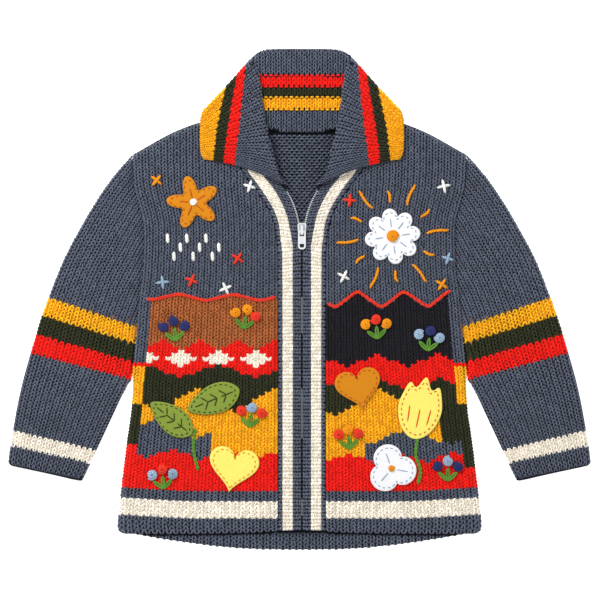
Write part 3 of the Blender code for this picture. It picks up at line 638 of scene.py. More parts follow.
# Sleeves: rows run across the tube; the row's ends lie on the top fold and on the under fold
SLEEVE_ROWS = refine(
    [  # row, outer out, outer y, inner out, inner y
        (0.0, 292.2, -165.5, 215.9, -181.5), (4.0, 289.4, -146.8, 208.3, -164.9),
        (8.0, 286.9, -131.2, 202.6, -151.0), (19.0, 279.5, -93.0, 186.0, -115.0),
        (30.0, 269.3, -54.2, 168.0, -80.6), (35.0, 263.9, -35.1, 163.4, -64.0),
        (40.0, 258.0, -16.5, 161.0, -45.6), (45.0, 251.5, 1.5, 159.4, -29.4),
        (54.5, 237.0, 38.0, 157.0, 0.0), (63.2, 221.0, 68.5, 154.5, 29.0),
        (71.9, 204.0, 97.5, 154.0, 58.0), (80.2, 187.0, 122.0, 158.0, 92.0),
        (87.0, 169.4, 141.8, 164.5, 122.0), (88.4, 165.9, 145.2, 163.6, 126.0),
    ],
    4,
)
SLEEVE_WALES, SLEEVE_ROW_COUNT = 15, 88
SLEEVE_MIDDLE = 3.65  # height of the tube's middle
SLEEVE_BEND = 1.9  # radius of the folds, at the middle of the wall
SLEEVE_LEAN = 0.33  # turn of the knit under the stitches, in radians
UNDER_ROW = 45  # the row at which the under fold reaches the armhole
CUFF_CORNER = 4.0


def cuff_inset(away):
    """How far the round corner of a cuff lies in from the sleeve's edge, so far from its end."""
    left = np.clip(CUFF_CORNER - away, 0, CUFF_CORNER)
    return CUFF_CORNER - np.sqrt(CUFF_CORNER**2 - left**2)


def sleeve_place(side):
    def place(u, v):
        outer = np.stack([read(SLEEVE_ROWS, v, 1, 0), read(SLEEVE_ROWS, v, 2, 0)], axis=-1)
        inner = np.stack([read(SLEEVE_ROWS, v, 3, 0), read(SLEEVE_ROWS, v, 4, 0)], axis=-1)
        outside = np.clip(-v, 0, 1)[..., None]
        lean = inner - outer
        length = np.linalg.norm(lean, axis=-1, keepdims=True)
        lean = lean / length
        length = length[..., 0]
        bend = SLEEVE_BEND
        turned = math.pi / 2 * bend
        total = length - 2 * (HALF + bend) + 2 * turned
        wide = np.where(v <= UNDER_ROW, total, 96.5 - 7.3 + 2 * turned) / SLEEVE_WALES
        q = u * wide
        first = np.clip(q / turned, -1, 1) * math.pi / 2
        last = np.clip((total - q) / turned, -1, 1) * math.pi / 2
        start = HALF + bend * (1 - np.cos(first)) + np.maximum(-q - turned, 0)
        end = np.clip(q - turned, 0, total - 2 * turned) + bend * np.cos(last)
        end = end - np.maximum(q - total - turned, 0)
        flat = start + np.where(v > UNDER_ROW, np.maximum(q - turned, 0), end)
        inset = cuff_inset(v * 4.1)
        flat = inset + flat * (1 - 2 * inset / length)
        spot = outer + lean * flat[..., None]
        share = np.clip(flat / length, 0, 1)
        fade = smooth((87 - v) / 30) * (0.6 + 0.4 * smooth(v / 8))
        z = SLEEVE_MIDDLE + bend * np.sin(first) + SLEEVE_CROWN * fade * np.sin(math.pi * share)
        z = z - np.where(v <= UNDER_ROW, bend * (1 - np.sin(last)), 0) * smooth((46 - v) / 12)
        x = side * spot[..., 0]
        y = spot[..., 1] - 4.0 * outside[..., 0]
        z = z + relief(x, y, SLEEVE_FOLDS) * smooth(q / 10) * smooth((total - q) / 10)
        z = z - 0.8 * (1 - smooth(v / 1.2))
        return np.stack([x, y, z], axis=-1)

    return place


def armhole_dip(out, y):
    """How far the sleeve sinks where it passes under the body's edge."""
    beside = np.maximum(out - edge_out(y) - 0.4, 0)
    return 3.6 * np.exp(-((beside / 4.8) ** 1.8)) * smooth((y - UNDERARM_Y + 4) / 12)


def sleeve_clamp(side):
    def clamp(points):
        x, y, z = parts(points)
        out = side * x
        limit = np.where(y > UNDERARM_Y, edge_out(y) - 1.3, 0.0)
        over = np.maximum(limit - out, 0)
        z = z - 0.4 * np.clip(over / 2, 0, 1) - armhole_dip(out, y)
        out = np.maximum(out, limit)
        cuff = -165.5 - (292.2 - out) * 16.0 / 76.3
        return np.stack([side * out, np.maximum(y, cuff - 0.3), np.maximum(z, 0.1)], axis=-1)

    return clamp


def sleeve_paint(row):
    paint = np.full(np.shape(row), SLATE)
    for low, high, colour in ((4, 8, CREAM), (30, 35, RED), (35, 40, FOREST), (40, 45, MUSTARD)):
        paint[(row >= low) & (row < high)] = colour
    return paint


SLEEVE_RINGS, SLEEVE_COLUMNS = 164, 17
SLEEVE_LENGTH = 358.0


def mirrored_ring(ends, over):
    """Values round a tube: up the outer fold, over the top, and back along the lower side."""
    return [ends, over, ends[::-1], ends[1:], over[::-1], ends[:0:-1]]


def sleeve_tube(side):
    """Middle of the sleeve's wall: rings that run over the upper side and back along the lower one."""
    armhole = refine([(out + 0.5, y) for out, y in ARMHOLE], 8)
    low_end, top_end = armhole[0], armhole[-1]
    t = np.concatenate([[0, 0.0012, 0.003, 0.006], np.linspace(0.011, 1, SLEEVE_RINGS - 3)])
    outer, inner = (
        at_share(refine([(out + move, y - HALF / 2) for out, y in edge], 8), t)
        for edge, move in ((SLEEVE_TOP_EDGE, -HALF), (SLEEVE_UNDER_EDGE, HALF))
    )
    bend = SLEEVE_BEND
    turns = np.radians([0, 30, 60])
    first, over, last, first_low, over_low, last_low = mirrored_ring(
        bend * np.sin(turns), np.full(SLEEVE_COLUMNS, bend)
    )
    ring_height = np.concatenate([first, over, last, -first_low, -over_low, -last_low])
    rings = []
    for start, end, along in zip(outer, inner, t):
        width = np.linalg.norm(end - start)
        crown = SLEEVE_CROWN * (1 - along**3) * (0.55 + 0.45 * smooth(along * 6))
        first, over, last, first_low, over_low, last_low = mirrored_ring(
            bend / width * (1 - np.cos(turns)), np.linspace(bend / width, 1 - bend / width, SLEEVE_COLUMNS)
        )
        ring_share = np.concatenate([first, over, 1 - last, 1 - first_low, over_low, last_low])
        share = ring_share[:, None]
        seam_y = top_end[1] + (UNDERARM_Y - top_end[1]) * ring_share
        seam = np.stack([np.interp(seam_y, armhole[:, 1], armhole[:, 0]), seam_y], axis=-1)
        seam_bow = seam - (top_end + (low_end - top_end) * share)
        inset = cuff_inset(along * SLEEVE_LENGTH) / width
        spot = start + (end - start) * (inset + share * (1 - 2 * inset)) + seam_bow * along**4
        slack = seam - (outer[-1] + (inner[-1] - outer[-1]) * share) - seam_bow
        near = smooth(np.minimum(share, 1 - share) / 0.06)
        spot = spot + slack * along**12 * near
        spot = spot - np.array([2.2, 0.0]) * smooth((along - 0.93) / 0.07)
        rise = crown * np.sin(math.pi * ring_share) * np.where(ring_height > 0, 1.0, 0.12)
        z = SLEEVE_MIDDLE + ring_height + rise
        rings.append(np.stack([side * spot[:, 0], spot[:, 1], z], axis=-1))
    return np.array(rings)


def nearest_row(surface, points):
    """The row number of a surface nearest to each point, seen from above."""
    grid = surface.points[:, :: surface.fine // 2, :2]
    rows = np.repeat(surface.v, grid.shape[1])
    grid = grid.reshape(-1, 2)
    return rows[[np.argmin(((grid - point) ** 2).sum(1)) for point in points[:, :2]]]


def make_sleeve(side, wearer):
    surface = Surface(sleeve_place(side), SLEEVE_WALES, SLEEVE_ROW_COUNT, flip=side == RIGHT, fine=4)
    wale, row, (x, y, _) = cells_of(surface, SLEEVE_WALES + 1, SLEEVE_ROW_COUNT, start=-1)
    inside = (y < UNDERARM_Y) | (side * x > edge_out(y) - 2.0)
    inside &= (wale < SLEEVE_WALES) | (row < UNDER_ROW - 3)
    wale, row = wale[inside], row[inside]
    knit = stitches("sleeve_knit_" + wearer, surface, wale, row, sleeve_paint(row), sleeve_clamp(side))

    rings = sleeve_tube(side)
    count = rings.shape[1]
    across = np.roll(rings, -1, axis=1) - np.roll(rings, 1, axis=1)
    normals = -side * unit(np.cross(across, np.gradient(rings, axis=0)))
    proud = np.full(count, 0.3)  # the bends lie low, so that only stitches show there
    proud[4 : SLEEVE_COLUMNS + 2] = 0.8
    proud[-(SLEEVE_COLUMNS + 1) : -3] = 1.7
    outer, inner = rings + normals * proud[:, None], rings - normals * 1.65
    under = rings[..., 2] < 3.0
    dip = armhole_dip(side * rings[..., 0], rings[..., 1])
    outer[..., 2] = np.maximum(outer[..., 2] - np.where(under, 0, dip), 0.02)
    inner[..., 2] -= np.where(under, 0.5 * dip, dip)
    inner[..., 2] = np.where(under, inner[..., 2], np.maximum(inner[..., 2], 1.2))
    middle = outer[:-1] + outer[1:] + np.roll(outer, -1, 1)[:-1] + np.roll(outer, -1, 1)[1:]
    beside = nearest_row(surface, middle.reshape(-1, 3) / 4) - 0.1
    low, high = sleeve_paint(beside - 0.35), sleeve_paint(beside + 0.35)
    index = np.where((low == SLATE) | (low == FOREST), low, high).reshape(SLEEVE_RINGS, count)
    outer, inner = (np.concatenate([grid, grid[:, :1]], axis=1) for grid in (outer, inner))
    shell(
        "sleeve_cloth_" + wearer, outer, inner, index, SLEEVE_SHADED_GROUNDS[side],
        "sleeve_" + wearer, (0.46, 0.36), ["front_cloth_" + wearer], [knit], ring=True,
    )


# the sleeves' cloth under the stitches: the same darker colours of painted shade, with the V rows turned
SLEEVE_SHADED_GROUNDS = {
    side: [
        ground("sleeve_%s_%s" % (name, "left" if side == RIGHT else "right"), rgb, side * SLEEVE_LEAN)
        for name, rgb in SHADED_GAPS.items()
    ]
    for side in (LEFT, RIGHT)
}

# Bands along the fronts' edges, knitted sideways
BAND_WALES = 61
BAND_SHARES = (np.array([0.75, 3.5, 6.3, 9.1, 12.5, 15.95, 19.4, 23.6]) - 0.75) / 22.85
BAND_ROWS = len(BAND_SHARES) - 1
BAND_PAINT = np.array([SLATE] * 3 + [CREAM] * 3 + [SLATE])


def band_place(side):
    lengths = run((BAND_LINE[:, :2] + BAND_LINE[:, 2:]) / 2)

    def place(u, v):
        wanted = np.clip(u / BAND_WALES, -0.02, 1.02) * lengths[-1]
        far_out, far_y, near_out, near_y = (np.interp(wanted, lengths, BAND_LINE[:, k]) for k in range(4))
        share = np.interp(v, np.arange(BAND_ROWS + 1), BAND_SHARES)
        # the inner edge steps back beside the slider, and the stripe beside it doesn't
        share = share * (1 - 0.27 * np.exp(-(((near_y - 61) / 7) ** 2)) * np.interp(v, [3, 6], [1, 0]))
        share = share + np.minimum(v, 0) * 0.1 + np.maximum(v - BAND_ROWS, 0) * 0.1
        y = near_y + (far_y - near_y) * share + (np.minimum(u, 0) + np.maximum(u - BAND_WALES, 0)) * 7
        x = CLOSURE_X + side * (near_out + (far_out - near_out) * share)
        width = np.hypot(far_out - near_out, far_y - near_y)
        inner = 1 - smooth(share * width / 3.0)
        outer = 1 - smooth((1 - share) * width / 2.5)
        z = front_height(x) - 1.1 * inner - 0.8 * outer - 0.8 * (1 - smooth((u + 0.1) / 0.5))
        return np.stack([x, y, z + relief(x, y, FRONT_FOLDS)], axis=-1)

    return place


def band_clamp(side):
    def clamp(points):
        x, y, z = parts(points)
        out = side * (x - CLOSURE_X)
        inner = np.interp(y, BAND_LINE[:, 3], BAND_LINE[:, 2])
        out = np.clip(out, inner + 0.1, np.maximum(band_out(y), inner + 1))
        return np.stack([CLOSURE_X + side * out, np.clip(y, -232.3, 178.0), z], axis=-1)

    return clamp


def make_band(side, wearer):
    surface = Surface(band_place(side), BAND_WALES, BAND_ROWS, flip=side == RIGHT, fine=3)
    wale, row, _ = cells_of(surface, BAND_WALES, BAND_ROWS)
    paint = BAND_PAINT[row]
    knit = stitches(
        "band_knit_" + wearer, surface, wale.ravel(), row.ravel(), paint.ravel(), band_clamp(side),
        kind=FLAT_KNIT, slot="band_knit",
    )
    u, v = np.meshgrid(np.linspace(0, BAND_WALES, BAND_WALES * 2 + 1), np.arange(BAND_ROWS + 1.0))
    shell(
        "band_cloth_" + wearer, *cloth_faces(surface, u, v), np.repeat(paint, 2, axis=1), SHADED_GROUNDS,
        "front_band_" + wearer, (0.0235, 0.44), ["back"], [knit], slot="band_knit",
    )


# Collar: one strip, from the left front over the back of the neck to the right front
STAND_STEPS = np.linspace(0, 1, 37)
FALL_STEPS = np.linspace(0, 1, 25)
ROLL_TURNS = np.radians([20, 45, 70, 90, 110, 135, 160])


def collar_profile(position):
    """Middle of the strip at a row position, from the free edge over the roll to the neck seam."""
    places = np.arange(len(COLLAR_LINE)) / COLLAR_FINE
    row = np.array([np.interp(abs(position), places, column) for column in COLLAR_LINE.T])
    seam, roll, edge = row[0:2], row[2:4], row[4:6]
    seam_z, before, after, edge_z, bow = row[6:]
    radius = min(2.2, 0.45 * np.linalg.norm(seam - roll))
    fall, stand = edge - roll, seam - roll
    fall_unit, stand_unit = fall / np.linalg.norm(fall), stand / np.linalg.norm(stand)
    aside = np.array([fall_unit[1], -fall_unit[0]])
    near_fall, near_stand = roll + fall_unit * radius, roll + stand_unit * radius
    folded_under = float(smooth((before - after) / 4.0))
    bulge = (0.9 * folded_under - 0.6 * (1 - folded_under)) * min(np.linalg.norm(stand) / 50.0, 1.0)
    points = []
    for share in FALL_STEPS[::-1]:
        arch = math.sin(math.pi * share)
        flat = near_fall + (edge - near_fall) * share + aside * bow * arch
        height = edge_z + (after - edge_z) * (1.0 - float(smooth((share - 0.08) / 0.7))) + 0.3 * arch
        if edge_z > 5.55:
            height = max(height, float(front_height(CLOSURE_X - flat[0])) + WALL + 0.3)
        points.append((*flat, height))
    for turn in ROLL_TURNS:
        near = near_fall if turn < math.pi / 2 else near_stand
        flat = roll + (near - roll) * (1 - math.sin(turn))
        points.append((*flat, (before + after) / 2 + (after - before) / 2 * math.cos(turn)))
    for share in STAND_STEPS:
        flat = near_stand + (seam - near_stand) * share
        points.append((*flat, before + (seam_z - before) * share + bulge * math.sin(math.pi * share)))
    points = np.array(points)
    points[:, 2] = np.maximum(points[:, 2], HALF)
    points[:, 0] = CLOSURE_X + math.copysign(1.0, position) * points[:, 0]
    return points


# Positions along the collar run from -12 to 12, one for each row of its table on either side
COLLAR_REACH, COLLAR_FINE = 12, 8
COLLAR_POSITIONS = np.linspace(-COLLAR_REACH, COLLAR_REACH, 2 * COLLAR_REACH * COLLAR_FINE + 1)
COLLAR_GRID = np.array([collar_profile(p) for p in COLLAR_POSITIONS])
COLLAR_LENGTHS = np.array([run(profile) for profile in COLLAR_GRID])
FALL_ALONG, STRIPES_ALONG, STAND_ALONG = (run(COLLAR_GRID[:, column]) for column in (18, 6, -16))
FALL_COLUMNS, STAND_COLUMN = 25, 28  # the profile's points on the fall, and the first past the roll's top
SEAM_Y = 166.2


def collar_place(position):
    """Place of a position in the collar's grid."""
    return (position + COLLAR_REACH) * COLLAR_FINE


def collar_point(position, distance):
    """The middle of the strip at a row position and a distance from the free edge."""
    place = collar_place(position)
    low = np.clip(place.astype(int), 0, len(COLLAR_GRID) - 2)
    share = (place - low)[..., None]
    result = []
    for which in (low, low + 1):
        found = np.empty((*which.shape, 3))
        for k in np.unique(which):
            chosen = which == k
            for axis in range(3):
                found[chosen, axis] = np.interp(distance[chosen], COLLAR_LENGTHS[k], COLLAR_GRID[k, :, axis])
        result.append(found)
    return result[0] * (1 - share) + result[1] * share


LEAF_LINES = np.array(
    [  # y, and how far out the slate, the red and the green end there
        (105.0, 68.8, 79.8, 90.8), (132.0, 67.0, 78.2, 89.2), (147.5, 65.5, 77.0, 87.3),
        (168.0, 62.5, 74.0, 85.0), (195.0, 59.5, 69.6, 79.5), (212.0, 58.0, 66.4, 75.2),
        (229.5, 56.0, 63.2, 70.5), (250.0, 54.0, 60.0, 66.0),
    ]
)
FALL_ROWS = 34
FALL_PAINT = np.array([MUSTARD] * 6 + [FOREST] * 3 + [RED] * 3 + [SLATE] * 24)
STAND_BORDERS = np.concatenate(
    [
        [0.0, 3.6, 7.2, 10.8, 14.4, 18.0, 20.9, 23.5, 26.8, 30.1, 33.4, 36.2],
        [40.0, 43.8, 46.4, 50.7, 55.0, 58.0],
        58.0 + 3.65 * np.arange(1, 11),
    ]
)
STAND_PAINT = np.array([SLATE] * 6 + [MUSTARD] * 5 + [FOREST] * 2 + [RED] * 4 + [SLATE] * 12)
STAND_DOTS = (6, 10, 13, 16)
STAND_ROWS = 26
STAND_GROUND = STAND_PAINT.copy()
STAND_GROUND[[6, 16]] = SLATE
STAND_GROUND[[10, 13]] = FOREST


def stripe_ends(points, lengths):
    """Distances from the free edge at which the leaf's mustard, green and red end on one profile."""
    out = np.abs(points[:, 0] - CLOSURE_X)
    ends = []
    for column in (3, 2, 1):
        beyond = out - read(LEAF_LINES, points[:, 1], column, 0)
        inside = np.where(beyond < 0)[0]
        first = inside[0] if len(inside) else len(beyond) - 1
        if first == 0:
            ends.append(0.5)
            continue
        share = beyond[first - 1] / max(beyond[first - 1] - beyond[first], 1e-6)
        ends.append(lengths[first - 1] + np.clip(share, 0, 1) * (lengths[first] - lengths[first - 1]))
    return ends


def fall_lines():
    """Distances of the leaf's courses from its free edge, for each row of the collar's grid."""
    lines = []
    for position, points, lengths in zip(COLLAR_POSITIONS, COLLAR_GRID, COLLAR_LENGTHS):
        ends = stripe_ends(points[:FALL_COLUMNS], lengths[:FALL_COLUMNS])
        near = float(smooth((abs(position) - 3.0) / 1.0))
        first, second, third = (a * near + b * (1 - near) for a, b in zip(ends, (17.0, 28.0, 39.0)))
        second, third = max(second, first + 4), max(third, second + 4, first + 4)
        middle, last = np.linspace(first, second, 4)[1:], np.linspace(second, third, 4)[1:]
        plain = third + 3.5 * np.arange(1, FALL_ROWS - 11)
        lines.append(np.concatenate([np.linspace(0, first, 7), middle, last, plain]))
    return np.array(lines)


def fall_distance(lines, position, v):
    """Distance of a course of the leaf from its free edge."""
    place = np.clip(collar_place(position), 0, len(lines) - 1.001)
    level = np.clip(v, 0, FALL_ROWS - 0.001)
    k, j = place.astype(int), level.astype(int)
    ahead, above = place - k, level - j
    near = lines[k, j] * (1 - above) + lines[k, j + 1] * above
    far = lines[k + 1, j] * (1 - above) + lines[k + 1, j + 1] * above
    return near * (1 - ahead) + far * ahead + np.minimum(v, 0) * 3.0


def fall_knit(name, lines, along, wide, first, last):
    """The stitches of the leaf between two courses."""
    wales = int(round(along[-1] / wide))

    def position_at(u):
        return np.interp(u / wales * along[-1], along, COLLAR_POSITIONS)

    def place(u, v):
        distance = fall_distance(lines, position_at(u), v)
        found = collar_point(position_at(u), np.maximum(distance, 0))
        over = np.minimum(u, 0) + np.maximum(u - wales, 0)
        found[..., 2] -= 1.0 * (1 - smooth((distance + 0.3) / 3.0))
        found[..., 2] -= 0.9 * (1 - smooth(np.minimum(u, wales - u) / 0.8))
        found[..., 1] -= np.abs(over) * 3
        return found

    surface = Surface(place, wales, FALL_ROWS)
    if surface.normals[..., 2].mean() < 0:
        surface.normals = -surface.normals
    wale, row, _ = cells_of(surface, wales, FALL_ROWS)
    position = position_at(wale + 0.5)
    index = np.clip(collar_place(position).astype(int), 0, len(COLLAR_GRID) - 1)
    reach = COLLAR_LENGTHS[index, STAND_COLUMN + 1]
    shown = (fall_distance(lines, position, row + 0.5) < reach) & (np.abs(position) > 3.7)
    shown &= (row >= first) & (row < last)
    return stitches(name, surface, wale[shown], row[shown], FALL_PAINT[row[shown]], slot="collar_knit")


def stand_knit():
    """The stitches of the stand and the roll, with the rows of dots apart."""
    wales = int(STAND_ALONG[-1] / 5.1)
    borders = np.arange(len(STAND_BORDERS))

    def position_at(u):
        return np.interp(u / wales * STAND_ALONG[-1], STAND_ALONG, COLLAR_POSITIONS)

    def place(u, v):
        position = position_at(u)
        near = np.clip(np.round(collar_place(position)).astype(int), 0, len(COLLAR_GRID) - 1)
        level = SEAM_Y + np.interp(v, borders, STAND_BORDERS)
        distance = np.empty(near.shape)
        for k in np.unique(near):
            chosen = near == k
            line_y = COLLAR_GRID[k, STAND_COLUMN:, 1][::-1]
            found = np.interp(level[chosen], line_y, COLLAR_LENGTHS[k, STAND_COLUMN:][::-1])
            distance[chosen] = found - np.maximum(level[chosen] - line_y[-1], 0)
        found = collar_point(position, distance)
        found[..., 2] -= 1.3 * (1 - smooth((level - SEAM_Y + 0.3) / 3.5))
        return found

    surface = Surface(place, wales, STAND_ROWS)
    centre = len(surface.u) // 2
    if surface.normals[20:30, centre - 4 : centre + 4, 2].mean() < 0:
        surface.normals = -surface.normals
    wale, row, _ = cells_of(surface, wales, STAND_ROWS)
    position = position_at(wale + 0.5)
    index = np.clip(collar_place(position).astype(int), 0, len(COLLAR_GRID) - 1)
    level = SEAM_Y + np.interp(row + 0.5, borders, STAND_BORDERS)
    shown = (np.abs(position) < 4.6) & (level < COLLAR_GRID[index, STAND_COLUMN, 1] + 3.0)
    shown &= level > COLLAR_GRID[index, -1, 1] + 0.8
    dotted = np.isin(row, STAND_DOTS)
    made = []
    for name, chosen, kind in (
        ("collar_stand_knit", shown & ~dotted, KNIT), ("collar_stand_dots", shown & dotted, DOT),
    ):
        cells = wale[chosen], row[chosen], STAND_PAINT[row[chosen]]
        made.append(stitches(name, surface, *cells, kind=kind, slot="collar_knit"))
    return made


def make_collar():
    lines = fall_lines()
    pieces = [
        fall_knit("collar_stripes", lines, STRIPES_ALONG, 5.5, 0, 12),
        fall_knit("collar_knit", lines, FALL_ALONG, 5.75, 12, FALL_ROWS),
        *stand_knit(),
    ]
    grid, lengths = COLLAR_GRID[::2], COLLAR_LENGTHS[::2]
    normals = grid_normals(grid)
    if normals[:, 5, 2].mean() < 0:
        normals = -normals
    upper, lower = grid + normals * CLOTH_TOP, grid + normals * CLOTH_BOTTOM
    for face in (upper, lower):
        face[..., 2] = np.maximum(face[..., 2], 0.03)
    middle = (lengths[:-1, :-1] + lengths[1:, 1:]) / 2
    level = (grid[:-1, :-1, 1] + grid[1:, 1:, 1]) / 2 - SEAM_Y
    course = np.array([np.searchsorted(line, reach) for line, reach in zip(lines[::2], middle)])
    by_fall = FALL_PAINT[np.clip(course - 1, 0, FALL_ROWS)]
    by_stand = STAND_GROUND[np.clip(np.searchsorted(STAND_BORDERS, level) - 1, 0, 27)]
    index = np.where(np.arange(grid.shape[1] - 1) < STAND_COLUMN, by_fall, by_stand)
    shell(
        "collar_cloth", upper, lower, index, SHADED_GROUNDS, "collar", (0.56, 0.16),
        ["front_cloth_right", "front_cloth_left", "back"], pieces, slot="collar_knit",
    )


# Back panel
BACK_ROWS, BACK_COLUMNS = 60, 48
BACK_TOP = 3.45
HEM_WALES, HEM_ROWS = 54, 5
NECK_WALES, NECK_ROWS = 24, 36


def back_outline():
    """One half of the back, from its side to its middle, as rows of flat points."""
    v = np.linspace(0, 1, BACK_ROWS + 1)
    inset = WALL + 0.3 + 0.5
    side_line = np.vstack(
        [
            [BACK_HEM[0]],
            [(out - inset, y) for out, y in refine(SIDE_EDGE[1:], 8)],
            [(out - 0.25, y) for out, y in refine(ARMHOLE, 8)[1:]],
        ]
    )
    top_start = side_line[-1] - np.array([WALL, 0.0])
    shoulder = [(out, y - inset - 1.2) for out, y in SHOULDER[1:-1]]
    side_y = np.linspace(side_line[0, 1], side_line[-1, 1], BACK_ROWS + 1)
    side_out = np.interp(side_y, side_line[:, 1], side_line[:, 0])
    side_out -= 3.0 * (side_y > UNDERARM_Y) * (side_y < -60)
    side_out[-1] = top_start[0]
    share = np.linspace(0, 1, BACK_COLUMNS // 2 + 1)
    bottom = at_share(refine(BACK_HEM, 6), share)
    top = at_share(refine([tuple(top_start)] + shoulder + BACK_NECK, 6), share)
    share = share[:, None]
    half = []
    for k in range(BACK_ROWS + 1):
        start = np.array([side_out[k], side_y[k]])
        end = np.array([0.0, BACK_HEM[-1][1] + (BACK_NECK[-1][1] - BACK_HEM[-1][1]) * v[k]])
        flat = start + (end - start) * share
        flat += (bottom - (bottom[0] + (bottom[-1] - bottom[0]) * share)) * (1 - v[k])
        flat += (top - (top[0] + (top[-1] - top[0]) * share)) * v[k]
        half.append(flat)
    return np.array(half)


def hem_place(u, w):
    x = -178 + u * 6.6
    y = read(BACK_HEM_LINE, np.abs(x), 1, 0) + w * 3.9 + 0.2
    return np.stack([x, y, HALF - 0.9 * (1 - smooth((w + 0.1) / 0.8))], axis=-1)


def hem_clamp(points):
    """Lowers the stitches under the fronts' hem, where a gap between the two stays dark."""
    x, y, z = parts(points)
    near = y - np.interp(np.abs(x), HEM_LINE[:, 0], HEM_LINE[:, 1]) + 2.4
    return np.stack([x, y, np.maximum(z - 2.2 * smooth(near / 1.2), np.minimum(z, 0.3))], axis=-1)


def neck_place(u, w):
    return np.stack([CLOSURE_X + (u - 12) * 5.0, 63 + w * 2.85, np.full(u.shape, HALF)], axis=-1)


def make_back():
    half = back_outline()
    mirrored = half[:, ::-1][:, 1:] * np.array([-1.0, 1.0])
    x, y = np.moveaxis(np.concatenate([half, mirrored], axis=1)[:, ::-1], -1, 0)
    y = y + 5.0 * smooth((y - 150) / 10) * smooth((48 - np.abs(x - CLOSURE_X)) / 10)
    rise = np.maximum(relief(x, y, UNDERSIDE_FOLDS), 0)
    sunk = smooth((-226 - y) / 4) + smooth((y - 60) / 8) * (np.abs(x - CLOSURE_X) < 70)
    upper = np.stack([x, y, BACK_TOP - 1.2 * np.clip(sunk, 0, 1)], axis=-1)
    lower = np.stack([x, y, 0.03 + rise], axis=-1)

    surface = Surface(hem_place, HEM_WALES, HEM_ROWS)
    wale, row, (x, y, _) = cells_of(surface, HEM_WALES, HEM_ROWS)
    shown = (np.abs(x) < 174) & (y < -228.5)
    wale, row = wale[shown], row[shown]
    edge = stitches("back_hem_knit", surface, wale, row, np.full(len(row), SLATE), hem_clamp)

    surface = Surface(neck_place, NECK_WALES, NECK_ROWS)
    wale, row, (x, y, _) = cells_of(surface, NECK_WALES, NECK_ROWS)
    shown = (np.abs(x - CLOSURE_X) < np.interp(y, BAND_LINE[:, 3], BAND_LINE[:, 2]) + 8) & (y < 163.5)
    wale, row = wale[shown], row[shown]
    inside = stitches("back_inside_purl", surface, wale, row, np.full(len(row), SLATE), kind=PURL)
    index = np.full((BACK_ROWS, BACK_COLUMNS), SLATE)
    shell("back_cloth", upper, lower, index, SHADED_GROUNDS, "back", (0.365, 0.425), [], [edge, inside])


# Strands: embroidery and sewing, gathered by side so that each side is one mesh
class Threads:
    def __init__(self):
        self.points, self.faces, self.uvs, self.index, self.count = [], [], [], [], 0

    def strand(self, line, radius, colour, sides=6, taper=True):
        line = np.asarray(line, float)
        count = len(line)
        along = unit(np.gradient(line, axis=0))
        aside = unit(np.cross(along, [0.0, 0.0, 1.0]))
        above = np.cross(aside, along)
        size = np.full(count, radius)
        if taper:
            size[[0, -1]] *= 0.35
        angle = np.linspace(0, 2 * math.pi, sides + 1)[:, None]
        size = size[:, None, None]
        ring = line[:, None] + aside[:, None] * (np.cos(angle) * size)
        ring = ring + above[:, None] * (np.sin(angle) * size)
        faces = strip_faces(count, sides + 1)
        uv = np.stack(np.meshgrid(run(line) / 3.0, np.linspace(0, 1, sides + 1), indexing="ij"), axis=-1)
        self.points.append(ring.reshape(-1, 3))
        self.faces.append(faces + self.count)
        self.uvs.append(uv.reshape(-1, 2)[faces].reshape(-1, 2))
        self.index.append(np.full(len(faces), colour))
        self.count += count * (sides + 1)

    def finish(self, name):
        obj = build(
            name, np.vstack(self.points), np.vstack(self.faces), THREADS,
            np.concatenate(self.index), np.vstack(self.uvs),
        )
        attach(obj, "garment")


THREAD_COLOURS = {
    "thread_red": (238, 58, 36), "thread_orange": (242, 150, 14), "thread_sky": (150, 176, 200),
    "thread_navy": (40, 48, 100), "thread_green": (96, 150, 52), "thread_white": (250, 250, 246),
    "thread_black": (26, 24, 26), "thread_dark_green": (52, 62, 22), "thread_rust": (196, 84, 16),
}
THREADS = [yarn(name, rgb, 0.9, 1.1, 0.8) for name, rgb in THREAD_COLOURS.items()]
T_RED, T_ORANGE, T_SKY, T_NAVY, T_GREEN, T_WHITE, _, T_DARK_GREEN, T_RUST = range(9)


def turned(x, y, angle):
    """A flat point turned about the origin."""
    c, s = math.cos(angle), math.sin(angle)
    return x * c - y * s, x * s + y * c


def laid(x, y, ends=0.9, lift=0.0):
    """A line on the knitted face whose ends dive into the cloth."""
    x, y = np.asarray(x, float), np.asarray(y, float)
    z = front_top(x, y) + 0.35 + lift - ends * np.abs(np.linspace(-1, 1, len(x))) ** 6
    return np.stack([x, y, z], axis=-1)


def straight(threads, x0, y0, x1, y1, radius, colour, bow=0.0, lift=0.0):
    t = np.linspace(0, 1, 7)
    bend = bow * np.sin(math.pi * t)
    x = x0 + (x1 - x0) * t - (y1 - y0) * bend
    y = y0 + (y1 - y0) * t + (x1 - x0) * bend
    threads.strand(laid(x, y, lift=lift), radius, colour)


def cross_stitch(threads, x, y, size, turn, colour):
    c, s = math.cos(turn) * size, math.sin(turn) * size
    straight(threads, x - c - s, y - s + c, x + c + s, y + s - c, 1.45, colour, 0.02)
    straight(threads, x - c + s, y - s - c, x + c - s, y + s + c, 1.45, colour, -0.02, lift=0.9)


def wound(threads, x, y, size, colour, start, turns, points, above, climb, thick):
    """A flat spiral that climbs to its middle."""
    t = np.linspace(0, 1, points)
    angle, radius = turns * 2 * math.pi * t + start, size * (1 - 0.93 * t)
    x, y = x + radius * np.cos(angle), y + radius * np.sin(angle)
    z = front_top(x, y) + above + size * climb * np.sqrt(np.clip(1 - (radius / size) ** 2, 0, 1))
    threads.strand(np.stack([x, y, z], axis=-1), size * thick, colour, taper=False)


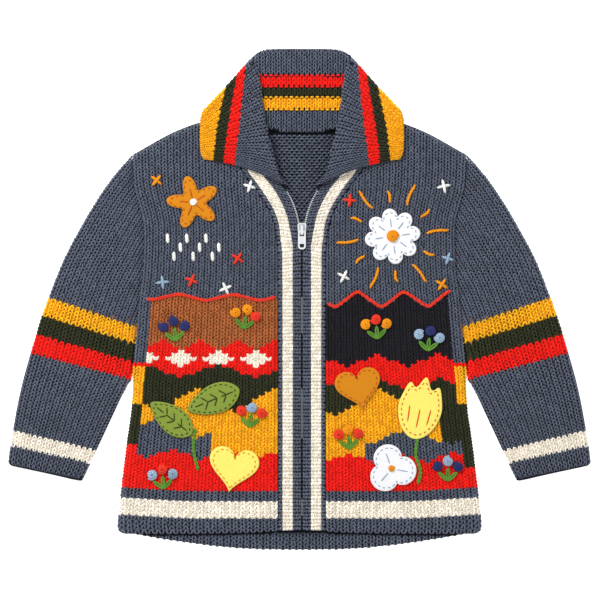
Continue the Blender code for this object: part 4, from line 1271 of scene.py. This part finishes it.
def lazy_leaf(threads, x, y, length, width, turn, colour):
    """A looped petal or leaf with a small stitch at its tip."""
    angle = 2 * math.pi * np.linspace(0, 1, 17)
    wave = 0.5 - 0.5 * np.cos(angle)
    dx, dy = turned(length * wave, width * np.sin(angle) * (0.6 + 0.4 * wave), turn)
    threads.strand(laid(x + dx, y + dy, ends=0.7), 0.95, colour)
    (x0, y0), (x1, y1) = turned(length - 1.2, 0, turn), turned(length + 1.6, 0, turn)
    straight(threads, x + x0, y + y0, x + x1, y + y1, 0.7, colour, lift=0.4)


def spans(points, first, last, pitch, before, after):
    """Ends of stitches along a line, with the unit vector across each."""
    line = np.asarray(points, float)
    for start in np.arange(first, last, pitch):
        a, b = along_line(line, np.array([start + before, start + after]))
        yield a, b, unit(np.array([a[1] - b[1], b[0] - a[0]]))


def rope(threads, points, colour, pitch=3.4, reach=6.2, width=0.75, radius=1.15):
    """Stem stitch: slanted stitches that overlap along a line, like a cord."""
    last = max(run(points)[-1] - reach * 0.7, 0.1)
    for a, b, aside in spans(points, -0.5, last, pitch, 0.0, reach):
        straight(threads, *(a - aside * width), *(b + aside * width), radius, colour)


def sprig(threads, x, y, colours, turn):
    """Three wound knots over a fan of leaves."""
    for angle in (42, 88, 138):
        lazy_leaf(threads, x, y, 11.5, 1.5, turn + math.radians(angle), T_GREEN)
    for (dx, dy), colour in zip(((-10.0, 15.0), (0.6, 19.5), (10.6, 14.2)), colours):
        dx, dy = turned(dx, dy, turn)
        wound(threads, x + dx, y + dy, 4.6, colour, DRAW.uniform(0, 6), 2.3, 26, 0.4, 0.5, 0.34)


def chain(threads, points, colour, pitch=4.6, width=0.95, radius=0.9):
    """A chain-stitch line along a path on the fronts."""
    t = np.linspace(0, 1, 5)[:, None]
    for a, b, aside in spans(points, 0, run(points)[-1] - pitch * 0.6, pitch, -0.6, pitch + 0.3):
        for way in (-width, width):
            x, y = (a + (b - a) * t + aside * way * np.sin(math.pi * t) ** 0.8).T
            threads.strand(laid(x, y, ends=0.5), radius, colour, 5)


# Felt motifs
def star_outline(a):
    r = 0.74 + 0.26 * np.cos(5 * a)
    return r * np.sin(a), r * np.cos(a)


def daisy_outline(a):
    r = 0.72 + 0.28 * np.abs(np.cos(4 * a)) ** 0.7
    return r * np.sin(a), r * np.cos(a)


def clover_outline(a):
    r = 0.62 + 0.38 * np.abs(np.cos(1.5 * a)) ** 0.8
    return r * np.sin(a), r * np.cos(a)


def heart_outline(a):
    return np.sin(a) ** 3, (13 * np.cos(a) - 5 * np.cos(2 * a) - 2 * np.cos(3 * a) - np.cos(4 * a)) / 16


def leaf_outline(a):
    y = np.cos(a)
    return 0.52 * np.sin(a) * (1.0 - 0.25 * y) * np.abs(np.sin(a)) ** 0.35, y


def tulip_outline(a):
    y = np.cos(a)
    tips = np.where(y > 0, 0.16 * np.cos(3 * math.pi * np.sin(a)), 0.0)
    return 0.68 * np.sin(a) * (1.0 + 0.12 * y), 0.9 * y + tips * y


FELTS = {  # outline, cloth, thread, x, y, size, turn, width and length of the whole cut
    "felt_star": (star_outline, "ochre", T_RUST, -106.0, 96.0, 27.0, 14.0, 0.0525, 0.0525),
    "felt_daisy": (daisy_outline, "white", T_SKY, 93.0, 62.0, 28.0, 8.0, 0.056, 0.056),
    "felt_leaf_low": (leaf_outline, "olive", T_DARK_GREEN, -128.0, -120.0, 26.0, 52.0, 0.029, 0.052),
    "felt_leaf_high": (leaf_outline, "olive", T_DARK_GREEN, -86.0, -101.0, 28.0, 112.0, 0.031, 0.056),
    "felt_heart_pale": (heart_outline, "pale", T_ORANGE, -66.0, -168.0, 25.0, -10.0, 0.05, 0.047),
    "felt_tulip": (tulip_outline, "pale", T_RED, 120.0, -112.0, 32.0, -12.0, 0.047, 0.06),
    "felt_heart_ochre": (heart_outline, "ochre", T_RUST, 59.0, -88.0, 23.0, 12.0, 0.046, 0.043),
    "felt_clover": (clover_outline, "white", T_SKY, 92.0, -170.0, 25.0, 20.0, 0.049, 0.049),
}
FELT_CLOTHS = {
    "ochre": felt_cloth("felt_ochre", (214, 134, 14)),
    "white": felt_cloth("felt_white", (245, 245, 248)),
    "pale": felt_cloth("felt_pale_yellow", (250, 236, 112)),
    "olive": felt_cloth("felt_olive", (132, 152, 58)),
}
FELT_POINTS = 96
# From the middle of a felt motif to its edge: shares of its size, and heights of its face there
FELT_SCALES = np.array([0.002, 0.03, 0.25, 0.5, 0.7, 0.8, 0.87, 0.93, 0.97, 0.992, 1.0])
FELT_HEIGHTS = np.array([1.95, 1.95, 1.95, 1.95, 1.93, 1.8, 1.72, 1.78, 1.6, 1.2, 0.6])


def felt_spot(name, dx, dy):
    """A point of a felt motif's own turned frame."""
    x0, y0, size, turn = FELTS[name][3:7]
    dx, dy = turned(dx, dy, math.radians(turn))
    return x0 + size * dx, y0 + size * dy


def make_felt(name, threads):
    outline, cloth, thread, x0, _, _, _, *flat = FELTS[name]
    dx, dy = outline(np.linspace(0, 2 * math.pi, FELT_POINTS + 1))
    upper, lower = [], []
    for scale, height in zip(FELT_SCALES, FELT_HEIGHTS):
        x, y = felt_spot(name, dx * scale, dy * scale)
        puff = 0.12 * np.sin(x * 0.9 + 1.3) * np.sin(y * 0.8) * (scale < 0.9)
        lower.append(np.stack([x, y, front_top(x, y) + 0.25], axis=-1))
        upper.append(np.stack([x, y, front_top(x, y) + 0.25 + height + puff], axis=-1))
    side = "right" if x0 < 0 else "left"
    shell(
        name + "_cloth", np.array(upper), np.array(lower), np.zeros((len(FELT_SCALES) - 1, FELT_POINTS), int),
        [FELT_CLOTHS[cloth]], name, tuple(flat), ["front_cloth_" + side], slot=cloth + "_felt", ring=True,
    )
    # running stitches a little inside the edge
    line = np.stack(felt_spot(name, dx * 0.85, dy * 0.85), axis=-1)
    length = run(line)[-1]
    number = max(int(length / 5.2), 8)
    for k in range(number):
        x, y = along_line(line, (k + np.linspace(0.1, 0.72, 5)) * length / number).T
        z = front_top(x, y) + 2.35 - 0.75 * np.abs(np.linspace(-1, 1, 5)) ** 3
        threads[side].strand(np.stack([x, y, z], axis=-1), 0.5, thread, 5)


def on_felt(threads, name, pairs, radius, colour):
    """Straight stitches on a felt motif, between points given in its own turned frame."""
    t = np.linspace(0, 1, 6)
    for (ax, ay), (bx, by) in pairs:
        x, y = felt_spot(name, ax + (bx - ax) * t, ay + (by - ay) * t)
        z = front_top(x, y) + 2.4 - 0.7 * np.abs(np.linspace(-1, 1, 6)) ** 4
        threads.strand(np.stack([x, y, z], axis=-1), radius, colour, 5)


def spokes(count, near, far):
    """Pairs of points on rays from a motif's middle."""
    ways = [(math.sin(angle), math.cos(angle)) for angle in 2 * math.pi / count * np.arange(count)]
    return [((near * x, near * y), (far * x, far * y)) for x, y in ways]


def make_embroidery():
    viewer_left, viewer_right = Threads(), Threads()
    for name in FELTS:
        make_felt(name, {"right": viewer_left, "left": viewer_right})
    ribs = [((0, -0.8), (0, -0.25)), ((0, -0.2), (0, 0.3)), ((0, 0.34), (0, 0.74))]
    ribs += [((0, h), (way * 0.26, h + 0.22)) for h in (-0.5, -0.15, 0.2) for way in (-1, 1)]
    lines = [((0, -0.6), (0, 0.1)), ((-0.3, -0.45), (-0.34, 0.15)), ((0.3, -0.45), (0.34, 0.15))]
    for group, name, pairs, radius, colour in (
        (viewer_left, "felt_leaf_low", ribs, 0.6, T_DARK_GREEN),
        (viewer_left, "felt_leaf_high", ribs, 0.6, T_DARK_GREEN),
        (viewer_right, "felt_daisy", spokes(8, 0.3, 0.66), 0.55, T_SKY),
        (viewer_left, "felt_star", spokes(5, 0.12, 0.56), 0.6, T_RUST),
        (viewer_right, "felt_tulip", lines, 0.6, T_RED),
        (viewer_right, "felt_clover", spokes(3, 0.16, 0.7), 0.55, T_SKY),
    ):
        on_felt(group, name, pairs, radius, colour)
    for group, name, size, colour in (
        (viewer_right, "felt_daisy", 5.6, T_ORANGE), (viewer_left, "felt_star", 3.2, T_WHITE),
        (viewer_right, "felt_clover", 3.0, T_ORANGE),
    ):
        wound(group, *FELTS[name][3:5], size, colour, 0.0, 2.6, 30, 2.4, 0.4, 0.26)

    # Stems
    for points, group in (
        ([(118, -140), (116, -156), (121, -172), (118, -186)], viewer_right),
        ([(-104, -130), (-106, -150), (-101, -172)], viewer_left),
    ):
        chain(group, refine(points, 10), T_GREEN, pitch=4.2)

    # Crosses and short stitches on the plain upper parts
    for x, y, size, turn, colour in (
        (-62, 40, 5.0, 0.2, T_RED), (-137, 16, 4.8, 0.9, T_SKY), (-50, 112, 4.4, 0.5, T_WHITE),
        (-143, 118, 4.6, 0.1, T_ORANGE), (-74, 10, 4.6, 1.2, T_WHITE), (-108, 18, 4.8, 0.4, T_RED),
        (44, 22, 4.8, 0.3, T_WHITE), (144, 112, 4.8, 1.0, T_WHITE), (142, 14, 4.8, 0.2, T_ORANGE),
        (50, 98, 4.6, 0.7, T_RED), (148, 40, 4.4, 0.5, T_SKY),
    ):
        cross_stitch(viewer_left if x < 0 else viewer_right, x, y, size, turn, colour)
    t = np.linspace(0, 1, 9)
    for k in range(12):
        out = 34.0 + (12.0 if k % 2 else 23.0) * t
        x, y = turned(out, 1.6 * (-1) ** k * np.sin(math.pi * t), math.pi * k / 6 + 0.1)
        rope(viewer_right, np.stack([93 + x, 62 + y], axis=-1), T_ORANGE)
    for k in range(9):
        x, y = -132 + 6.4 * k, 60 - 9.0 * ((k * 2) % 3)
        straight(viewer_left, x, y + 4.6, x + 0.6, y - 4.6, 1.75, T_WHITE)

    # Sprigs of wound knots
    for x, y, colours, turn in (
        (-124, -42, (T_NAVY, T_NAVY, T_NAVY), 0.1), (-56, -30, (T_ORANGE, T_ORANGE, T_RED), -0.15),
        (-136, -190, (T_SKY, T_RED, T_SKY), 0.1), (-50, -128, (T_RED, T_SKY, T_RED), -0.1),
        (128, -52, (T_SKY, T_NAVY, T_SKY), -0.1), (78, -40, (T_ORANGE, T_RED, T_ORANGE), 0.12),
        (148, -182, (T_NAVY, T_SKY, T_NAVY), 0.0), (50, -150, (T_RED, T_ORANGE, T_RED), 0.1),
    ):
        sprig(viewer_left if x < 0 else viewer_right, x, y, colours, turn)
    return viewer_left, viewer_right


def border_line(surface, top_row):
    """Points along the top of the coloured fields, from the band to the side."""
    k = np.linspace(0.4, FRONT_WALES - 1.2, 60)
    return surface.at(FRONT_WALES - k, top_row(k))[:, :2]


# Zip
BRIGHT_TEETH = ((-34.5, 1.5), (-140.0, -90.5), (-217.5, -200.5))  # stretches of the closed zip where the teeth keep their bright metal colour; the other closed teeth are painted dark, as shade
OPEN_FROM = 60  # above this height on the front all teeth keep their bright metal colour
TOOTH_PITCH = 2.0
BLOCK_SIDES = 24


def block(x0, x1, y0, y1, z0, z1):
    """Points and faces of a low block with rounded corners."""
    turn = np.linspace(0, 2 * math.pi, BLOCK_SIDES + 1)[:-1]
    px, py = (
        (low + high) / 2 + (high - low) / 2 * np.sign(wave) * np.abs(wave) ** 0.35
        for low, high, wave in ((x0, x1, np.cos(turn)), (y0, y1, np.sin(turn)))
    )
    rings = [np.stack([px, py, np.full(BLOCK_SIDES, z)], axis=-1) for z in (z0, z1)]
    inner_x, inner_y = (px + (x0 + x1) / 2 * 7) / 8, (py + (y0 + y1) / 2 * 7) / 8
    rings.append(np.stack([inner_x, inner_y, np.full(BLOCK_SIDES, z1 + 0.02)], axis=-1))
    ring, side = np.meshgrid(np.arange(2), np.arange(BLOCK_SIDES), indexing="ij")
    first = (ring * BLOCK_SIDES + side).ravel()
    second = (ring * BLOCK_SIDES + (side + 1) % BLOCK_SIDES).ravel()
    return np.vstack(rings), np.stack([first, second, second + BLOCK_SIDES, first + BLOCK_SIDES], axis=1)


def make_slider_details():
    """The tab's recess, and on the slider the shade in the tab's window and the ribs beside the bridge."""
    for name, body, paint, top, blocks in (
        ("slider_shade", "garment", SHADE, 8.0, [(0.2, 4.6, 61.9, 65.0)]),
        ("tab_hole_shade", "garment", SHADE, 9.7, [(0.0, 4.8, 50.2, 55.2)]),
        ("slider_ribs", "garment", GREY_METAL, 8.0, [(-0.1, 0.8, 66.6, 74.2), (4.0, 4.9, 66.6, 74.2)]),
        ("tab_recess", "pull_tab", BRUSHED, 11.8, [(0.7, 4.1, 55.6, 61.0)]),
    ):
        made = [block(*sides, top - 0.25, top + 0.06) for sides in blocks]
        points = np.vstack([points for points, _ in made])
        faces = np.vstack([faces + 3 * BLOCK_SIDES * number for number, (_, faces) in enumerate(made)])
        obj = build(name, points, faces, [paint], smoothed=False)
        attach(obj, body)


def make_zip():
    line = refine(ZIP_EDGE, 10)
    corner = np.array([(a, b, c) for c in (-1, 1) for b in (-1, 1) for a in (-1, 1)], float)
    shape = corner * np.array([0.85, 0.68, 1.0])
    shape[:, 1] *= np.where(corner[:, 2] > 0, 0.85, 1.0)
    box_faces = np.array([(0, 1, 3, 2), (4, 6, 7, 5), (0, 4, 5, 1), (2, 3, 7, 6), (0, 2, 6, 4), (1, 5, 7, 3)])
    for side, wearer, first in ((LEFT, "right", 0.2), (RIGHT, "left", TOOTH_PITCH / 2)):
        places = np.arange(first, run(line)[-1], TOOTH_PITCH)
        points, bright = [], []
        for (out, y), ahead in zip(along_line(line, places), along_line(line, places + 0.5)):
            along = unit(np.array([side * (ahead[0] - out), ahead[1] - y]))
            x = CLOSURE_X + side * out
            middle = np.array([x, y, front_height(x) - HALF - 0.3 - 0.9])
            spread = middle + shape[:, :1] * np.array([along[1], -along[0], 0])
            spread = spread + shape[:, 1:2] * np.array([*along, 0]) + shape[:, 2:] * np.array([0, 0, 1.0])
            points.append(spread)
            bright.append(y > OPEN_FROM or any(low < y < high for low, high in BRIGHT_TEETH))
        faces = box_faces[None] + 8 * np.arange(len(points))[:, None, None]
        # the teeth outside those places get a dark copy of the metal: painted shade
        dark = np.repeat(np.where(bright, 0, 1), len(box_faces))
        obj = build(
            "zip_teeth_" + wearer, np.vstack(points), faces.reshape(-1, 4), [TOOTH, SHADED_TOOTH], dark,
            smoothed=False,
        )
        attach(obj, "garment")


TOOTH, SHADED_TOOTH, TAPE, METAL, GREY_METAL, BRUSHED, SHADE = (
    principled("zip_" + name, rgb, roughness, metallic)[0]
    for name, rgb, roughness, metallic in (
        # the dark tooth colour is painted shade on the metal teeth
        ("tooth", (228, 229, 234), 0.35, 0.5), ("tooth_shaded", (34, 33, 36), 0.5, 0.3),
        ("fabric", (30, 31, 37), 0.85, 0.0), ("metal", (246, 247, 250), 0.3, 0.6),
        ("rib", (150, 152, 158), 0.4, 0.6), ("recess", (222, 223, 230), 0.45, 0.4),
        ("shade", (40, 41, 45), 0.7, 0.0),
    )
)


TABLE_HALF = 1500


def make_stage():
    sides = ((-1, -1), (1, -1), (1, 1), (-1, 1))
    corners = np.array([(x * TABLE_HALF, y * TABLE_HALF, -0.05) for x, y in sides])
    white, _, shader = principled("white_table", (250, 250, 250), 0.9)
    shader.inputs["Emission Color"].default_value = (1.0, 1.0, 1.0, 1.0)
    shader.inputs["Emission Strength"].default_value = 0.7
    floor = build("table_top", corners, np.array([[0, 1, 2, 3]]), [white], smoothed=False)
    camera = bpy.data.cameras.new("camera")
    camera.lens = 360.0
    camera.sensor_width = 36.0
    camera.clip_end = 20.0
    seen = bpy.data.objects.new("camera", camera)
    seen.location = (0.0005, -0.0015, 6.0)
    bpy.context.scene.collection.objects.link(seen)
    bpy.context.scene.camera = seen
    for name, place, size, power in (
        ("key", (-0.9, 1.1, 1.35), 0.8, 31.0),
        ("fill", (1.3, -0.6, 1.6), 1.6, 8.0),
    ):
        light = bpy.data.lights.new(name, "AREA")
        light.shape = "SQUARE"
        light.size = size
        light.energy = power
        lamp = bpy.data.objects.new(name, light)
        lamp.location = place
        direction = np.array(place) / np.linalg.norm(place)
        around = math.atan2(direction[1], direction[0]) + math.pi / 2
        lamp.rotation_euler = (math.acos(direction[2]), 0.0, around)
        bpy.context.scene.collection.objects.link(lamp)
    world = bpy.data.worlds.new("studio")
    world.use_nodes = True
    world.node_tree.nodes["Background"].inputs["Color"].default_value = (1.0, 1.0, 1.0, 1.0)
    world.node_tree.nodes["Background"].inputs["Strength"].default_value = 0.62
    bpy.context.scene.world = world
    bpy.context.scene.view_settings.view_transform = "Standard"


def main():
    surfaces = {}
    for side, wearer in ((LEFT, "right"), (RIGHT, "left")):
        surfaces[side] = make_front(side, wearer)
        make_band(side, wearer)
        make_sleeve(side, wearer)
    make_collar()
    make_back()
    viewer_left, viewer_right = make_embroidery()
    chain(viewer_left, border_line(surfaces[LEFT], lambda k: 66.2 + steps(k + 1.5, 9, 2)), T_RED)
    chain(viewer_right, border_line(surfaces[RIGHT], lambda k: 64.2 + steps(k + 2.5, 8, 5)), T_RED)
    viewer_left.finish("embroidery_right")
    viewer_right.finish("embroidery_left")
    for obj, flat, rests_on, area, pieces in sorted(SHEETS, key=lambda sheet: bool(sheet[-1])):
        area = min(area, flat[0] * flat[1])
    make_zip()
    for name in ("zip_tape_right", "zip_tape_left"):
        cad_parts[name].material_slots[0].material = TAPE
    for name in ("zip_slider", "zip_pull"):
        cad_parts[name].material_slots[0].material = METAL
    make_slider_details()
    make_stage()


main()
